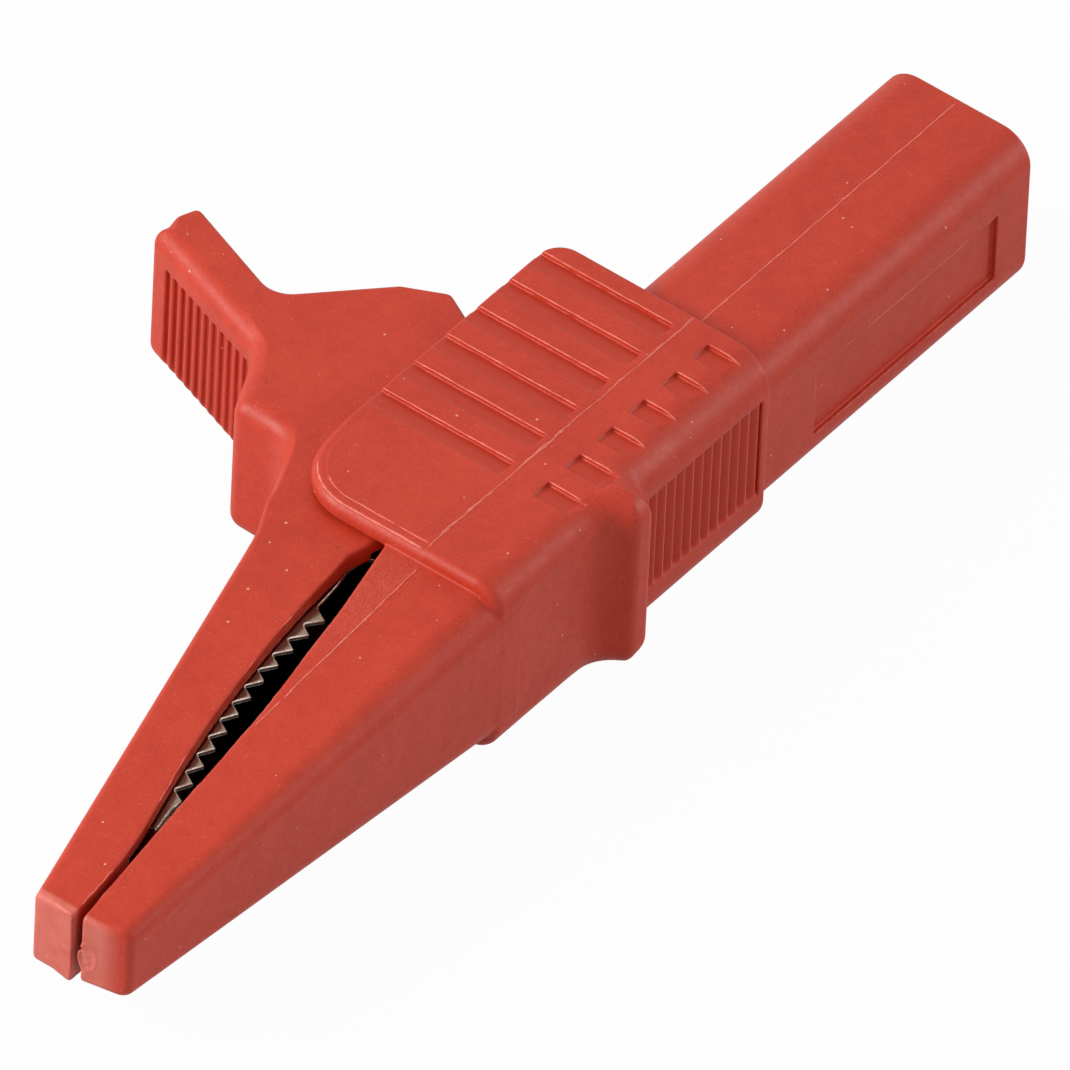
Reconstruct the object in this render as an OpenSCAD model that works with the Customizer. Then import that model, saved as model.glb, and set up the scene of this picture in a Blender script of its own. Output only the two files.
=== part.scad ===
// Insulated crocodile clip with a 4 mm safety socket in its tail.
// Origin: centre of the socket contact's mouth. +X: out of the socket, -X: to the jaws,
// +Y: to the thumb lever, Z: along the pivot. Millimetres. The clip lies on its lower side plate.

/* [Tail] */
// Length of the square tail, from its end to the side plates
tail_len = 27.5; // [25:0.5:40]
// Width of the tail
tail_w = 11.6; // [11.4:0.1:13]
// Height of the tail, along the pivot
tail_h = 12.7; // [11.6:0.1:13.5]
// Radius of the tail's long edges
tail_edge = 2.4; // [0.5:0.1:2.6]
// How far the tail stands past the contact's mouth
mouth_reach = 2.4; // [1.8:0.1:4]
// Length of the blank label panel on the tail
panel_len = 19.1; // [8:0.1:21]
// Height of the label panel
panel_h = 5.6; // [2:0.1:7]
// Distance from the tail's end to the label panel
panel_start = 3.2; // [1:0.1:4]
// How far the panel's middle lies below the tail's middle
panel_drop = 0.65; // [0:0.05:1]
// Depth of the label panel
panel_depth = 0.3; // [0.1:0.05:0.5]

/* [Side plates] */
// Length of the housing with the two side plates
collar_len = 28.5; // [26:0.5:34]
// Height over both plates
collar_h = 14.5; // [13.9:0.1:18]
// Thickness of a side plate
plate_t = 1.3; // [0.8:0.05:1.4]
// Reach of the plates towards the lever, from the tail's middle
plate_reach = 11.35; // [10:0.05:13]
// Corner radius at the front of the plates
plate_front_r = 4.8; // [2:0.1:6]
// Corner radius at the back of the plates
plate_back_r = 1.8; // [0.8:0.1:3]
// Distance from the tail's middle to the finger side, beside the ribs
side_reach = 6.2; // [6:0.05:7]
// Distance from the tail's middle to the finger side, ahead of the guard
front_reach = 6.3; // [6:0.05:7]
// Radius of the housing's edges beside the ribs
side_edge = 2.8; // [1.5:0.1:3.2]
// Radius of the housing's edges ahead of the finger guard
front_edge = 2.0; // [1:0.1:3]
// Rounding of the plates' front edge
lip_edge = 0.8; // [0.3:0.05:1]
// Rounding of the plates' other edges
plate_edge = 0.35; // [0.2:0.05:0.6]
// Thickness of the housing's wall on the finger side
side_wall = 1.2; // [1:0.05:1.3]
// Thickness of the housing's back wall
back_wall = 1.8; // [1.2:0.1:2.5]
// Thickness of the wall behind the fixed jaw's cover
front_wall = 1.0; // [0.8:0.1:1.5]

/* [Finger guard] */
// How far the finger guard stands out from the finger side
guard_reach = 1.95; // [1:0.05:3]
// Radius of the guard's ends
guard_edge = 1.2; // [0.8:0.1:2]
// Distance from the plates' front to the foot of the guard's back face
guard_back = 14.6; // [12:0.1:16]
// How far the guard's back face leans forward
guard_lean = 1.25; // [0.5:0.05:2]
// Distance from the foot of the back face to the front of the ridge
guard_w = 2.4; // [2:0.1:3]
// Radius of the guard's ridge
guard_round = 0.8; // [0.4:0.05:1]
// Radius of the sweep ahead of the guard
guard_sweep = 3.4; // [2:0.1:4]

/* [Grip features] */
// Pitch of the sawtooth slots on the plates
slot_pitch = 3.32; // [2.6:0.01:3.4]
// Number of slots in a row
slot_count = 6; // [2:1:6]
// Width of a slot
slot_w = 1.5; // [0.8:0.05:2]
// Depth of a slot at its back wall
slot_depth = 0.4; // [0.2:0.05:0.6]
// Distance from the plates' back to the first slot
slot_start = 1.6; // [1.5:0.05:3]
// Gap between the long slots and the parting line
long_slot_gap = 0.6; // [0.3:0.05:2]
// Gap between the parting line and the short slots
short_slot_gap = 2.2; // [1:0.05:3]
// Distance from the finger side to the short slots' ends
short_slot_end = 1.1; // [0.8:0.05:2]
// Pitch of the finger ribs
rib_pitch = 0.94; // [0.8:0.01:1]
// Number of ribs in the finger pad
pad_ribs = 12; // [6:1:12]
// Number of ribs on the thumb pad
thumb_ribs = 11; // [6:1:11]
// Width of the groove between two ribs
groove_w = 0.5; // [0.3:0.05:0.6]
// Depth of the grooves
groove_depth = 0.35; // [0.2:0.05:0.5]
// Distance from a pad's edge to its first groove
groove_start = 0.6; // [0.4:0.05:1]
// Height of the finger pad's ribs
pad_h = 8.1; // [5:0.1:9]
// Height of the thumb pad's ribs
thumb_pad_h = 6.6; // [5:0.1:8]

/* [Jaws] */
// Length of the jaws ahead of the plates
jaw_len = 36.4; // [34:0.1:42]
// Half height of the fixed jaw's cover at the plates
fixed_half_h = 6.25; // [5:0.05:6.5]
// Half height of both covers at the tips
tip_half_h = 2.85; // [2.5:0.05:3.5]
// Width of the fixed jaw's tip
fixed_tip_w = 3.45; // [3:0.05:4.5]
// Width of the moving jaw's tip
moving_tip_w = 2.5; // [2.2:0.05:3.5]
// Gap between the closed tips
tip_gap = 1.0; // [0.6:0.05:2]
// How far the gap between the tips lies towards the finger side
tip_side = 0.98; // [0.5:0.01:1.5]
// Height of the fixed cover's inner edge where the plates end
fixed_edge_root = 2.98; // [2.6:0.01:3.2]
// Height of that edge at its first bend
fixed_edge_bend = 1.72; // [1.4:0.01:2]
// Height of that edge at its middle bend
fixed_edge_middle = 0.27; // [0:0.01:0.6]
// Height of that edge at its last bend
fixed_edge_end = -0.68; // [-0.8:0.01:-0.4]
// Height of the moving cover's inner edge at its root
moving_edge_root = 4.25; // [4:0.01:4.5]
// Height of that edge at its crest
moving_edge_crest = 4.45; // [4.3:0.01:4.8]
// Height of that edge where it starts to run straight
moving_edge_bend = 3.1; // [2.8:0.01:3.4]
// Height of that edge where the closed tips begin
moving_edge_end = -0.35; // [-0.45:0.01:-0.2]
// Rise of the moving cover's outer edge, as a slope
outer_slope = 0.255; // [0.2:0.005:0.3]
// Extra slope of the outer edge near the plates
root_slope = 0.2; // [0:0.01:0.3]
// Distance from the plates' front to the bend of the outer edge
root_bend = 3.5; // [2:0.1:5]
// Thickness of the covers behind the metal jaws
cover_t = 1.3; // [0.9:0.05:1.4]

/* [Lever] */
// Distance from the plates' front to the pivot
pivot_back = 8.0; // [7.5:0.1:9]
// Distance from the tail's middle to the pivot
pivot_side = 4.5; // [4:0.1:5]
// Distance from the plates' front to the lever's shoulder
shoulder_back = 4.4; // [3.5:0.1:6]
// Distance from the tail's middle to the shoulder
shoulder_side = 14.1; // [13:0.1:15]
// Distance from the tail's middle to the top of the thumb guard
thumb_guard_side = 18.8; // [17:0.1:20]
// Distance from the plates' front to the wing's root
wing_root_back = 9.75; // [9:0.05:11]
// Distance from the tail's middle to the wing's root
wing_root_side = 21.1; // [20.5:0.1:22]
// Length of the thumb wing
wing_len = 12.4; // [11:0.1:15]
// Lean of the wing towards the tail, in degrees
wing_lean = 20.5; // [15:0.5:24]
// Thickness of the wing at its end
wing_end_t = 3.4; // [3:0.1:4.5]
// Distance from the plates' front to the wing's back root
wing_heel_back = 14.1; // [13.5:0.1:15]
// Distance from the tail's middle to the wing's back root
wing_heel_side = 22.95; // [22:0.05:24]
// Distance from the plates' front to the lever's heel
heel_back = 20.0; // [19:0.1:20.5]
// Distance from the tail's middle to the heel
heel_side = 17.3; // [16:0.1:18]
// Length of the heel's end face, towards the housing
heel_len = 3.4; // [2:0.1:4]
// Thickness of a lever cheek beside the pivot
cheek_t = 1.0; // [0.7:0.05:1]
// Radius of the lever cheeks round the pivot
cheek_r = 4.6; // [4:0.1:4.8]
// Rise of the lever's hollow over the pivot
hollow_rise = 5.9; // [5.5:0.1:6.5]
// Reach of the lever's hollow behind the pivot
hollow_back = 9.0; // [8:0.1:10]
// Rounding of the edges where a finger rests
finger_edge = 1.1; // [0.5:0.1:1.1]
// Rounding of the lever's other edges
lever_edge = 0.3; // [0.1:0.05:0.4]

/* [Metal jaws] */
// Thickness of the jaw sheet
sheet_t = 0.6; // [0.4:0.05:0.7]
// Half width of the metal jaws beside the pivot
metal_half_w = 3.9; // [3.6:0.05:3.95]
// Half width of the metal jaws at the first tooth
tooth_half_w = 2.8; // [2.2:0.05:3.2]
// Half width of the metal jaws at the front
nose_half_w = 1.35; // [1.2:0.05:1.8]
// Pitch of the teeth
tooth_pitch = 1.62; // [1.2:0.01:1.7]
// Number of teeth on a jaw
tooth_count = 12; // [6:1:12]
// Depth of a tooth
tooth_depth = 1.0; // [0.5:0.05:1.2]
// How far the moving teeth stand out of their cover
moving_tooth_out = 0.8; // [0.3:0.05:1]
// How far the fixed teeth stand out of their cover
fixed_tooth_out = 0.45; // [0.1:0.05:0.5]
// Distance from the plates' front to the first tooth's tip
tooth_start = 5.2; // [4.5:0.1:7]
// Plain edge between the last tooth and the metal's front end
nose_len = 1.0; // [0.5:0.1:3]
// Radius of the fixed jaw's ears
fixed_ear_r = 3.4; // [3:0.1:3.6]
// Radius of the moving jaw's ears
moving_ear_r = 3.1; // [2.8:0.1:3.4]
// Distance from the pivot back to the narrow tongue and to the spring's seat
tongue_back = 6.0; // [5:0.1:7]
// Half width of the tongue that runs back to the socket
tongue_half_w = 2.6; // [2:0.1:3]
// Height of the tongue's lug, from the tail's middle
lug_side = 3.0; // [2.6:0.1:3.5]
// Distance from the pivot back to the end of the moving jaw's sheet
seat_back = 7.5; // [6.5:0.1:8]

/* [Pivot] */
// Radius of the rivet's shank
pin_r = 1.5; // [1.2:0.05:1.7]
// Radius of the rivet's formed head
pin_head_r = 2.4; // [2.2:0.05:2.8]
// Radius of the rivet's closed end
pin_end_r = 1.95; // [1.8:0.05:2.3]
// Height of a rivet head
pin_head_t = 0.35; // [0.3:0.05:0.4]
// Chamfer of the rivet's heads
pin_chamfer = 0.2; // [0.1:0.05:0.25]
// Thickness of the washer
washer_t = 0.3; // [0.2:0.05:0.35]
// Radius of the washer
washer_r = 2.7; // [2.4:0.1:3]
// Wall of the bush inside the spring
bush_wall = 0.4; // [0.3:0.05:0.5]
// Wire diameter of the spring
wire_d = 0.9; // [0.7:0.05:0.95]
// Turns of the spring's coil
coil_turns = 4; // [3:1:4]
// Reach of the spring's lower leg behind the pivot
lower_leg = 6.4; // [5.5:0.1:7]
// Reach of the spring's upper leg behind the pivot
upper_leg = 5.8; // [5:0.1:6]

/* [Socket] */
// Bore of the socket contact
contact_bore = 4.0; // [3.9:0.05:4.1]
// Wall of the socket contact
contact_wall = 0.6; // [0.5:0.05:0.65]
// Depth of the contact's bore
contact_depth = 19; // [17:0.5:21]
// Diameter of the recess that takes the plug's shroud
shroud_d = 8.5; // [8.2:0.05:8.8]
// Depth of the shroud recess, from the tail's end
shroud_depth = 22; // [20:0.5:23]
// Wall of the insulating sleeve on the contact
sleeve_wall = 0.5; // [0.4:0.05:0.6]
// How far the sleeve's lip stands past the contact's mouth
sleeve_reach = 1.5; // [1:0.1:1.7]
// Radius of the spigot that carries the jaw's lug
spigot_r = 1.5; // [1.2:0.05:1.7]
// How far the spigot's riveted head stands past the lug
spigot_head = 0.45; // [0.3:0.05:0.6]

/* [Clearances] */
// Running clearance round the pivot, on the radius
run_gap = 0.05; // [0.02:0.01:0.1]
// Clearance of parts pushed into each other
fit_gap = 0.03; // [0.02:0.01:0.1]
// Clearance between parts that swing past each other
swing_gap = 0.3; // [0.3:0.05:0.4]
// Clearance between the spring and what its legs rest on
leg_gap = 0.05; // [0.02:0.01:0.1]
// Clearance between the moving jaw's ears and the fixed ones
ear_gap = 0.1; // [0.05:0.01:0.15]

/* [Hidden] */

$fn = 48;
corner_steps = 5;
edge_steps = 3;
red = [0.74, 0.2, 0.15];
nickel = [0.74, 0.72, 0.68];
steel = [0.55, 0.55, 0.57];
// Small overlap of pieces that are joined
bite = 0.01;
// Step that keeps two joined top faces out of one plane
shade = 0.02;

// Stations are distances forward from the tail's end
tail_end = mouth_reach;
plate_back = tail_len;
plate_front = plate_back + collar_len;
jaw_tip = plate_front + jaw_len;
pivot_at = plate_front - pivot_back;
guard_at = plate_front - guard_back;
bay_back = plate_back + back_wall;
bay_front = plate_front - front_wall;
first_tooth = plate_front + tooth_start;
nose_at = first_tooth + (tooth_count - 0.5) * tooth_pitch + nose_len;
lug_at = bay_back + fit_gap;
lug_front = lug_at + sheet_t;

// Heights along the pivot
half_h = collar_h / 2;
bay_half_h = half_h - plate_t;
lever_half_h = bay_half_h - swing_gap;
cheek_in = lever_half_h - cheek_t;
moving_half_w = metal_half_w - sheet_t - ear_gap;
between_ears = moving_half_w - sheet_t - run_gap;

// Offsets from the tail's middle
bay_side = side_reach - side_wall;
fixed_back_y = -bay_side + fit_gap;
roof_y = pivot_side + hollow_rise;
guard_y = -side_reach - guard_reach;
fixed_tip_y = -tip_side - tip_gap / 2;
moving_tip_y = -tip_side + tip_gap / 2;

// Radii round the pivot and the socket
coil_r = pin_r + run_gap + bush_wall + run_gap + wire_d / 2 + ear_gap;
contact_r = contact_bore / 2 + contact_wall;
sleeve_r = contact_r + fit_gap + sleeve_wall;

// Position along X of a station
function st(d) = tail_end - d;
function unit(v) = v / norm(v);
// +1 where the path a, b, c turns left
function turn_of(a, b, c) = sign((b.x - a.x) * (c.y - b.y) - (b.y - a.y) * (c.x - b.x));

// Corner b of a path, rounded to radius r: points with the outward direction and the edge radius there
function corner(a, b, c, r, edge) =
    let (u = unit(a - b), v = unit(c - b),
         half = acos(max(-1, min(1, u * v))) / 2,
         centre = b + unit(u + v) * r / sin(half),
         p = b + u * r / tan(half) - centre,
         q = b + v * r / tan(half) - centre,
         from = atan2(p.y, p.x),
         raw = atan2(q.y, q.x) - from,
         turn = raw > 180 ? raw - 360 : raw < -180 ? raw + 360 : raw,
         out = turn_of(a, b, c))
    [for (i = [0 : corner_steps])
        let (t = from + turn * i / corner_steps, n = [cos(t), sin(t)])
        [centre.x + r * n.x, centre.y + r * n.y, out * n.x, out * n.y, edge]];

// Closed outline from corners [station, offset, corner radius, edge radius]
function outline(corners) =
    let (n = len(corners), xy = [for (c = corners) [c.x, c.y]])
    [for (i = [0 : n - 1])
        each corner(xy[(i + n - 1) % n], xy[i], xy[(i + 1) % n], corners[i][2], corners[i][3])];

// Open line from corners [station, offset, radius], with straight ends
function bent_line(corners) =
    let (n = len(corners), xy = [for (c = corners) [c.x, c.y]])
    [xy[0],
     for (i = [1 : n - 2]) each [for (p = corner(xy[i - 1], xy[i], xy[i + 1], corners[i][2], 0)) [p.x, p.y]],
     xy[n - 1]];

// How far a rounding of radius r has cut in at distance x from the edge
function round_cut(x, r) = x >= r ? 0 : r - sqrt(r * r - (r - x) * (r - x));

// Skin over rings with the same number of points
module skin(rings) {
    n = len(rings[0]);
    m = len(rings);
    sides = [for (k = [0 : m - 2], i = [0 : n - 1])
        let (j = (i + 1) % n)
        each [[k * n + i, k * n + j, (k + 1) * n + j], [k * n + i, (k + 1) * n + j, (k + 1) * n + i]]];
    ends = [[for (i = [n - 1 : -1 : 0]) i], [for (i = [0 : n - 1]) (m - 1) * n + i]];
    polyhedron(points = [for (ring = rings) each ring], faces = concat(sides, ends), convexity = 6);
}

// Rounded rectangle across the body at station d, between offsets lo and hi
function cross_ring(d, lo, hi, half, r_lo, r_hi) =
    let (corners = [[lo + r_lo, half - r_lo, r_lo, 90], [lo + r_lo, r_lo - half, r_lo, 180],
                    [hi - r_hi, r_hi - half, r_hi, 270], [hi - r_hi, half - r_hi, r_hi, 0]])
    [for (c = corners, i = [0 : corner_steps])
        let (t = c[3] + 90 * i / corner_steps)
        [st(d), c.x + c[2] * cos(t), c.y + c[2] * sin(t)]];

// Slab with rounded edges over an outline
module slab(points, half) {
    turns = [for (i = [0 : edge_steps]) 90 - 90 * i / edge_steps];
    layers = concat([for (t = turns) [-1, t]], [for (i = [edge_steps : -1 : 0]) [1, turns[i]]]);
    skin([for (layer = layers)
        [for (p = points)
            let (edge = p[4], inset = edge * (1 - cos(layer[1])))
            [st(p.x - p[2] * inset), p.y - p[3] * inset, layer[0] * (half - edge * (1 - sin(layer[1])))]]]);
}

// Block between half heights over points [X, Y]
module block(points, half) {
    translate([0, 0, -half]) linear_extrude(2 * half) polygon(points);
}

// Wedge that limits a metal jaw's half width by station
module taper(stations, half_widths) {
    n = len(stations);
    reach = 2 * plate_reach;
    edge = [for (i = [0 : n - 1]) [st(stations[i]), half_widths[i]]];
    back = [for (i = [n - 1 : -1 : 0]) [edge[i].x, -edge[i].y]];
    rotate([90, 0, 0]) translate([0, 0, -reach]) linear_extrude(2 * reach) polygon(concat(edge, back));
}

// Cylinder on the tail's axis from station a forward to station b
module bar(a, b, r) {
    translate([st(b), 0, 0]) rotate([0, 90, 0]) cylinder(r = r, h = b - a);
}

// Inner edges of the two covers, from under the plates to the tips
edge_root = plate_front - 0.11 * jaw_len;
fixed_inner = bent_line([[edge_root, 1.36 * fixed_edge_root - 0.36 * fixed_edge_bend - 0.1 * tip_gap],
                         [plate_front + 0.165 * jaw_len, fixed_edge_bend, 0.8 * jaw_len],
                         [plate_front + 0.44 * jaw_len, fixed_edge_middle, jaw_len],
                         [plate_front + 0.77 * jaw_len, fixed_edge_end, jaw_len],
                         [jaw_tip, fixed_tip_y]]);
moving_inner = bent_line([[edge_root, moving_edge_root],
                          [plate_front + 0.275 * jaw_len, moving_edge_crest, 0.38 * jaw_len],
                          [plate_front + 0.453 * jaw_len, moving_edge_bend, 0.44 * jaw_len],
                          [plate_front + 0.865 * jaw_len, moving_edge_end, 0.44 * jaw_len],
                          [jaw_tip + 0.2 * tip_gap, moving_tip_y]]);

// Outer edges of the two covers
function fixed_outer(d) = -front_reach + (front_reach - fixed_tip_w + fixed_tip_y) * (d - plate_front) / jaw_len;
function moving_outer(d) = moving_tip_y + moving_tip_w + outer_slope * (jaw_tip - d)
    + root_slope * max(0, plate_front + root_bend - d);
function fixed_floor(d) = fixed_outer(d) + cover_t;
function moving_floor(d) = moving_tip_y + moving_tip_w + outer_slope * (jaw_tip - d) - cover_t;
function cover_half(d, back) = back + (tip_half_h - back) * max(0, d - plate_front) / jaw_len;

// Tapered cover of a jaw from under the plates to its tip; outward is -1 for the fixed one, 1 for the moving one
module jaw_cover(inner, outward, half_back, r_back, r_tip, tip) {
    tip_edge = 0.45 * tip_gap;
    shares = [for (i = [0 : 15]) -0.04 + i * 0.0676];
    body = [for (share = shares) [plate_front + share * jaw_len, 0]];
    nose = [for (a = [30, 60, 85]) [tip - tip_edge * (1 - sin(a)), tip_edge * (1 - cos(a))]];
    skin([for (s = concat(body, nose))
        let (d = s.x, cut = s.y,
             outer = (outward < 0 ? fixed_outer(d) : moving_outer(d)) - outward * cut,
             inside = lookup(d, inner) + outward * cut,
             r_out = r_back + (r_tip - r_back) * (d - plate_front) / jaw_len)
        cross_ring(d, min(outer, inside), max(outer, inside), cover_half(d, half_back) - cut,
                   outward < 0 ? r_out : lever_edge, outward < 0 ? lever_edge : r_out)]);
}

// Finger side of the housing, with the guard
side_line = bent_line([[plate_back - bite, -side_reach],
                       [guard_at - 0.16 * guard_lean, -side_reach, 0.24 * guard_lean],
                       [guard_at + 0.84 * guard_lean, guard_y, guard_round],
                       [guard_at + guard_w, guard_y, guard_round],
                       [guard_at + guard_w + 0.82 * guard_reach, -front_reach, guard_sweep],
                       [plate_front + bite, -front_reach]]);

// Housing with both plates, before its room is cut out
module collar() {
    back_ends = [for (a = [0, 20, 40, 65]) plate_back + plate_back_r * (1 - cos(a))];
    front_ends = [for (a = [90, 72, 58, 46, 34, 22, 10, 0]) plate_front - plate_front_r * (1 - cos(a))];
    middle = [for (p = side_line) if (p.x > plate_back + plate_back_r && p.x < front_ends[0] - bite) p.x];
    edges = [[guard_at - 0.4 * guard_lean, side_edge], [guard_at + 0.5 * guard_lean, guard_edge],
             [guard_at + guard_w + 0.2 * guard_sweep, guard_edge],
             [guard_at + guard_w + 1.2 * guard_sweep, front_edge]];
    skin([for (d = concat(back_ends, middle, front_ends))
        let (back = d - plate_back, front = plate_front - d,
             thin = round_cut(back, plate_edge) + round_cut(front, lip_edge),
             near = lookup(d, side_line) + round_cut(back, plate_edge),
             far = plate_reach - round_cut(back, plate_back_r) - round_cut(front, plate_front_r))
        cross_ring(d, near, far, half_h - thin, lookup(d, edges), plate_edge)]);
}

module tail_block() {
    y = tail_w / 2;
    z = tail_h / 2;
    profile = outline([[-y, -z, tail_edge, 0], [y, -z, tail_edge, 0], [y, z, tail_edge, 0], [-y, z, tail_edge, 0]]);
    length = tail_len + back_wall / 2;
    translate([st(length), 0, 0]) rotate([90, 0, 90]) linear_extrude(length) polygon([for (p = profile) [p.x, p.y]]);
}

// Sawtooth slots in both plates, deepest at their back walls
module plate_slots() {
    above = half_h + plate_t;
    spans = [[long_slot_gap, plate_reach + plate_t], [short_slot_end - side_reach, -short_slot_gap]];
    for (side = [-1, 1], i = [0 : slot_count - 1], span = spans)
        translate([st(plate_back + slot_start + i * slot_pitch), span.x, 0]) rotate([-90, 0, 0])
            linear_extrude(span.y - span.x)
                polygon([[0, side * above], [0, side * (half_h - slot_depth)],
                         [-slot_w, side * half_h], [-slot_w, side * above]]);
}

// Grooves between the ribs of the finger pad
module pad_grooves() {
    for (i = [0 : pad_ribs])
        translate([st(guard_at - groove_start - i * rib_pitch), -side_reach, 0])
            cube([groove_w, 2 * groove_depth, pad_h], center = true);
}

module label_panel() {
    translate([st(panel_start + panel_len), -tail_w / 2 - panel_depth, -panel_drop - panel_h / 2])
        cube([panel_len, 2 * panel_depth, panel_h]);
}

// Room between the plates for the lever, the metal jaws and the spring
module bay() {
    open_y = plate_reach + plate_t;
    front_y = lookup(bay_front, fixed_inner);
    tip_y = lookup(plate_front, fixed_inner);
    block([[st(bay_back), -bay_side], [st(bay_front), -bay_side], [st(bay_front), front_y],
           [st(plate_front + front_wall), 2 * tip_y - front_y], [st(plate_front + front_wall), open_y],
           [st(bay_back), open_y]], bay_half_h);
}

// Space in a cover for a metal jaw, between points [X, Y], with the metal's taper
module jaw_space(points) {
    intersection() {
        block(points, half_h);
        taper([pivot_at + tongue_back, first_tooth, nose_at, nose_at + nose_len],
              [metal_half_w + fit_gap, tooth_half_w + fit_gap, nose_half_w + fit_gap, nose_half_w + fit_gap]);
    }
}

module body_shell() {
    nose = nose_at + fit_gap;
    color(red) difference() {
        union() {
            tail_block();
            collar();
            jaw_cover(fixed_inner, -1, fixed_half_h, front_edge, 0.45 * front_edge, jaw_tip);
        }
        plate_slots();
        pad_grooves();
        label_panel();
        bay();
        jaw_space([[st(nose), fixed_floor(nose)], [st(bay_front), fixed_floor(bay_front)],
                   [st(bay_front), roof_y], [st(nose), roof_y]]);
        bar(-tail_end, shroud_depth, shroud_d / 2);
        bar(shroud_depth - bite, bay_back + bite, contact_r + fit_gap);
    }
}

// Corners of the lever's outline
lever_front = plate_front + swing_gap;
wing_root = [plate_front - wing_root_back, wing_root_side];
wing_way = [-sin(wing_lean), cos(wing_lean)];
wing_end = wing_root + wing_len * wing_way;
wing_end_back = wing_end - wing_end_t * [0.95, 0.31];
heel = [plate_front - heel_back, heel_side];
lever_outline = outline([
    [lever_front, moving_edge_root, 1, lever_edge],
    [lever_front, moving_outer(lever_front) + shade, 1, lever_edge],
    [plate_front - shoulder_back, shoulder_side, 1.4, lever_edge],
    [plate_front - shoulder_back - lever_edge / 2, thumb_guard_side, finger_edge + 0.1, finger_edge],
    [wing_root.x, wing_root.y, 1.8, finger_edge],
    [wing_end.x, wing_end.y, finger_edge + 0.1, finger_edge],
    [wing_end_back.x, wing_end_back.y, lever_edge + 0.1, lever_edge],
    [plate_front - wing_heel_back, wing_heel_side, 2, lever_edge],
    [heel.x, heel.y, 0.8, lever_edge],
    [heel.x - 0.44 * heel_len, heel.y - 0.9 * heel_len, 0.6, lever_edge],
    [pivot_at - 2 * cheek_r, pivot_side + 0.5 * cheek_r, 2, lever_edge],
    [pivot_at - cheek_r, pivot_side - cheek_r, 0.96 * cheek_r, lever_edge],
    [pivot_at + cheek_r, pivot_side - cheek_r, 0.86 * cheek_r, lever_edge],
    [bay_front - front_wall, fixed_edge_root + 0.5, 0.5, lever_edge]
]);

// Grooves between the ribs of the thumb pad
module thumb_grooves() {
    for (i = [0 : thumb_ribs - 1])
        let (at = wing_root + (1.5 * groove_start + i * rib_pitch) * wing_way)
        translate([st(at.x), at.y, 0]) rotate(-wing_lean)
            cube([2 * groove_depth, groove_w, thumb_pad_h], center = true);
}

// Hollow between the cheeks, for the metal jaw and the spring
module lever_hollow() {
    hollow = outline([[plate_front, 0, 0.5, 0], [plate_front, moving_floor(plate_front), 0.3, 0],
                      [pivot_at + coil_r, roof_y, 1.5, 0], [pivot_at - hollow_back, roof_y, 1, 0],
                      [pivot_at - hollow_back - cheek_r, pivot_side - 1.5, 0.5, 0], [pivot_at, -2 * sheet_t, 0.5, 0]]);
    block([for (p = hollow) [st(p.x), p.y]], cheek_in);
}

// Lever, thumb wing and moving jaw cover
module lever_shell() {
    nose = nose_at + fit_gap;
    behind = plate_front - front_wall;
    below = -bay_side;
    color(red) difference() {
        union() {
            slab(lever_outline, lever_half_h);
            jaw_cover(moving_inner, 1, lever_half_h - shade, 0.5, 0.6, jaw_tip + 0.2 * tip_gap);
        }
        lever_hollow();
        jaw_space([[st(nose), below], [st(behind), below], [st(behind), moving_floor(behind)],
                   [st(nose), moving_floor(nose)]]);
        thumb_grooves();
    }
}

// Rounded teeth along a cover's inner edge, from the first to the nose; out is towards the other jaw
function toothed_edge(inner, stand, out) =
    [for (i = [0 : 6 * tooth_count])
        let (d = first_tooth - tooth_pitch / 2 + i * tooth_pitch / 6,
             rise = pow((1 - cos(60 * i)) / 2, 0.75))
        [st(d), lookup(d, inner) + out * (stand - tooth_depth * (1 - rise))]];

// Folded channel: side walls of one outline, hollowed by another, narrowing to its nose
module stamped_jaw(wall, inside, half_back) {
    at = [bay_back, pivot_at + tongue_back, first_tooth, nose_at];
    widths = [half_back, half_back, tooth_half_w, nose_half_w];
    difference() {
        intersection() {
            block(wall, half_h);
            taper(at, widths);
        }
        intersection() {
            block(inside, half_h);
            taper([at[0] - 1, at[1], at[2], at[3] + nose_len], [for (w = widths) w - sheet_t]);
        }
    }
}

// Points round an ear at the pivot
function ear(r, from, to) =
    [for (i = [0 : 12]) let (a = from + (to - from) * i / 12)
        [st(pivot_at) + r * cos(a), pivot_side + r * sin(a)]];

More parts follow.
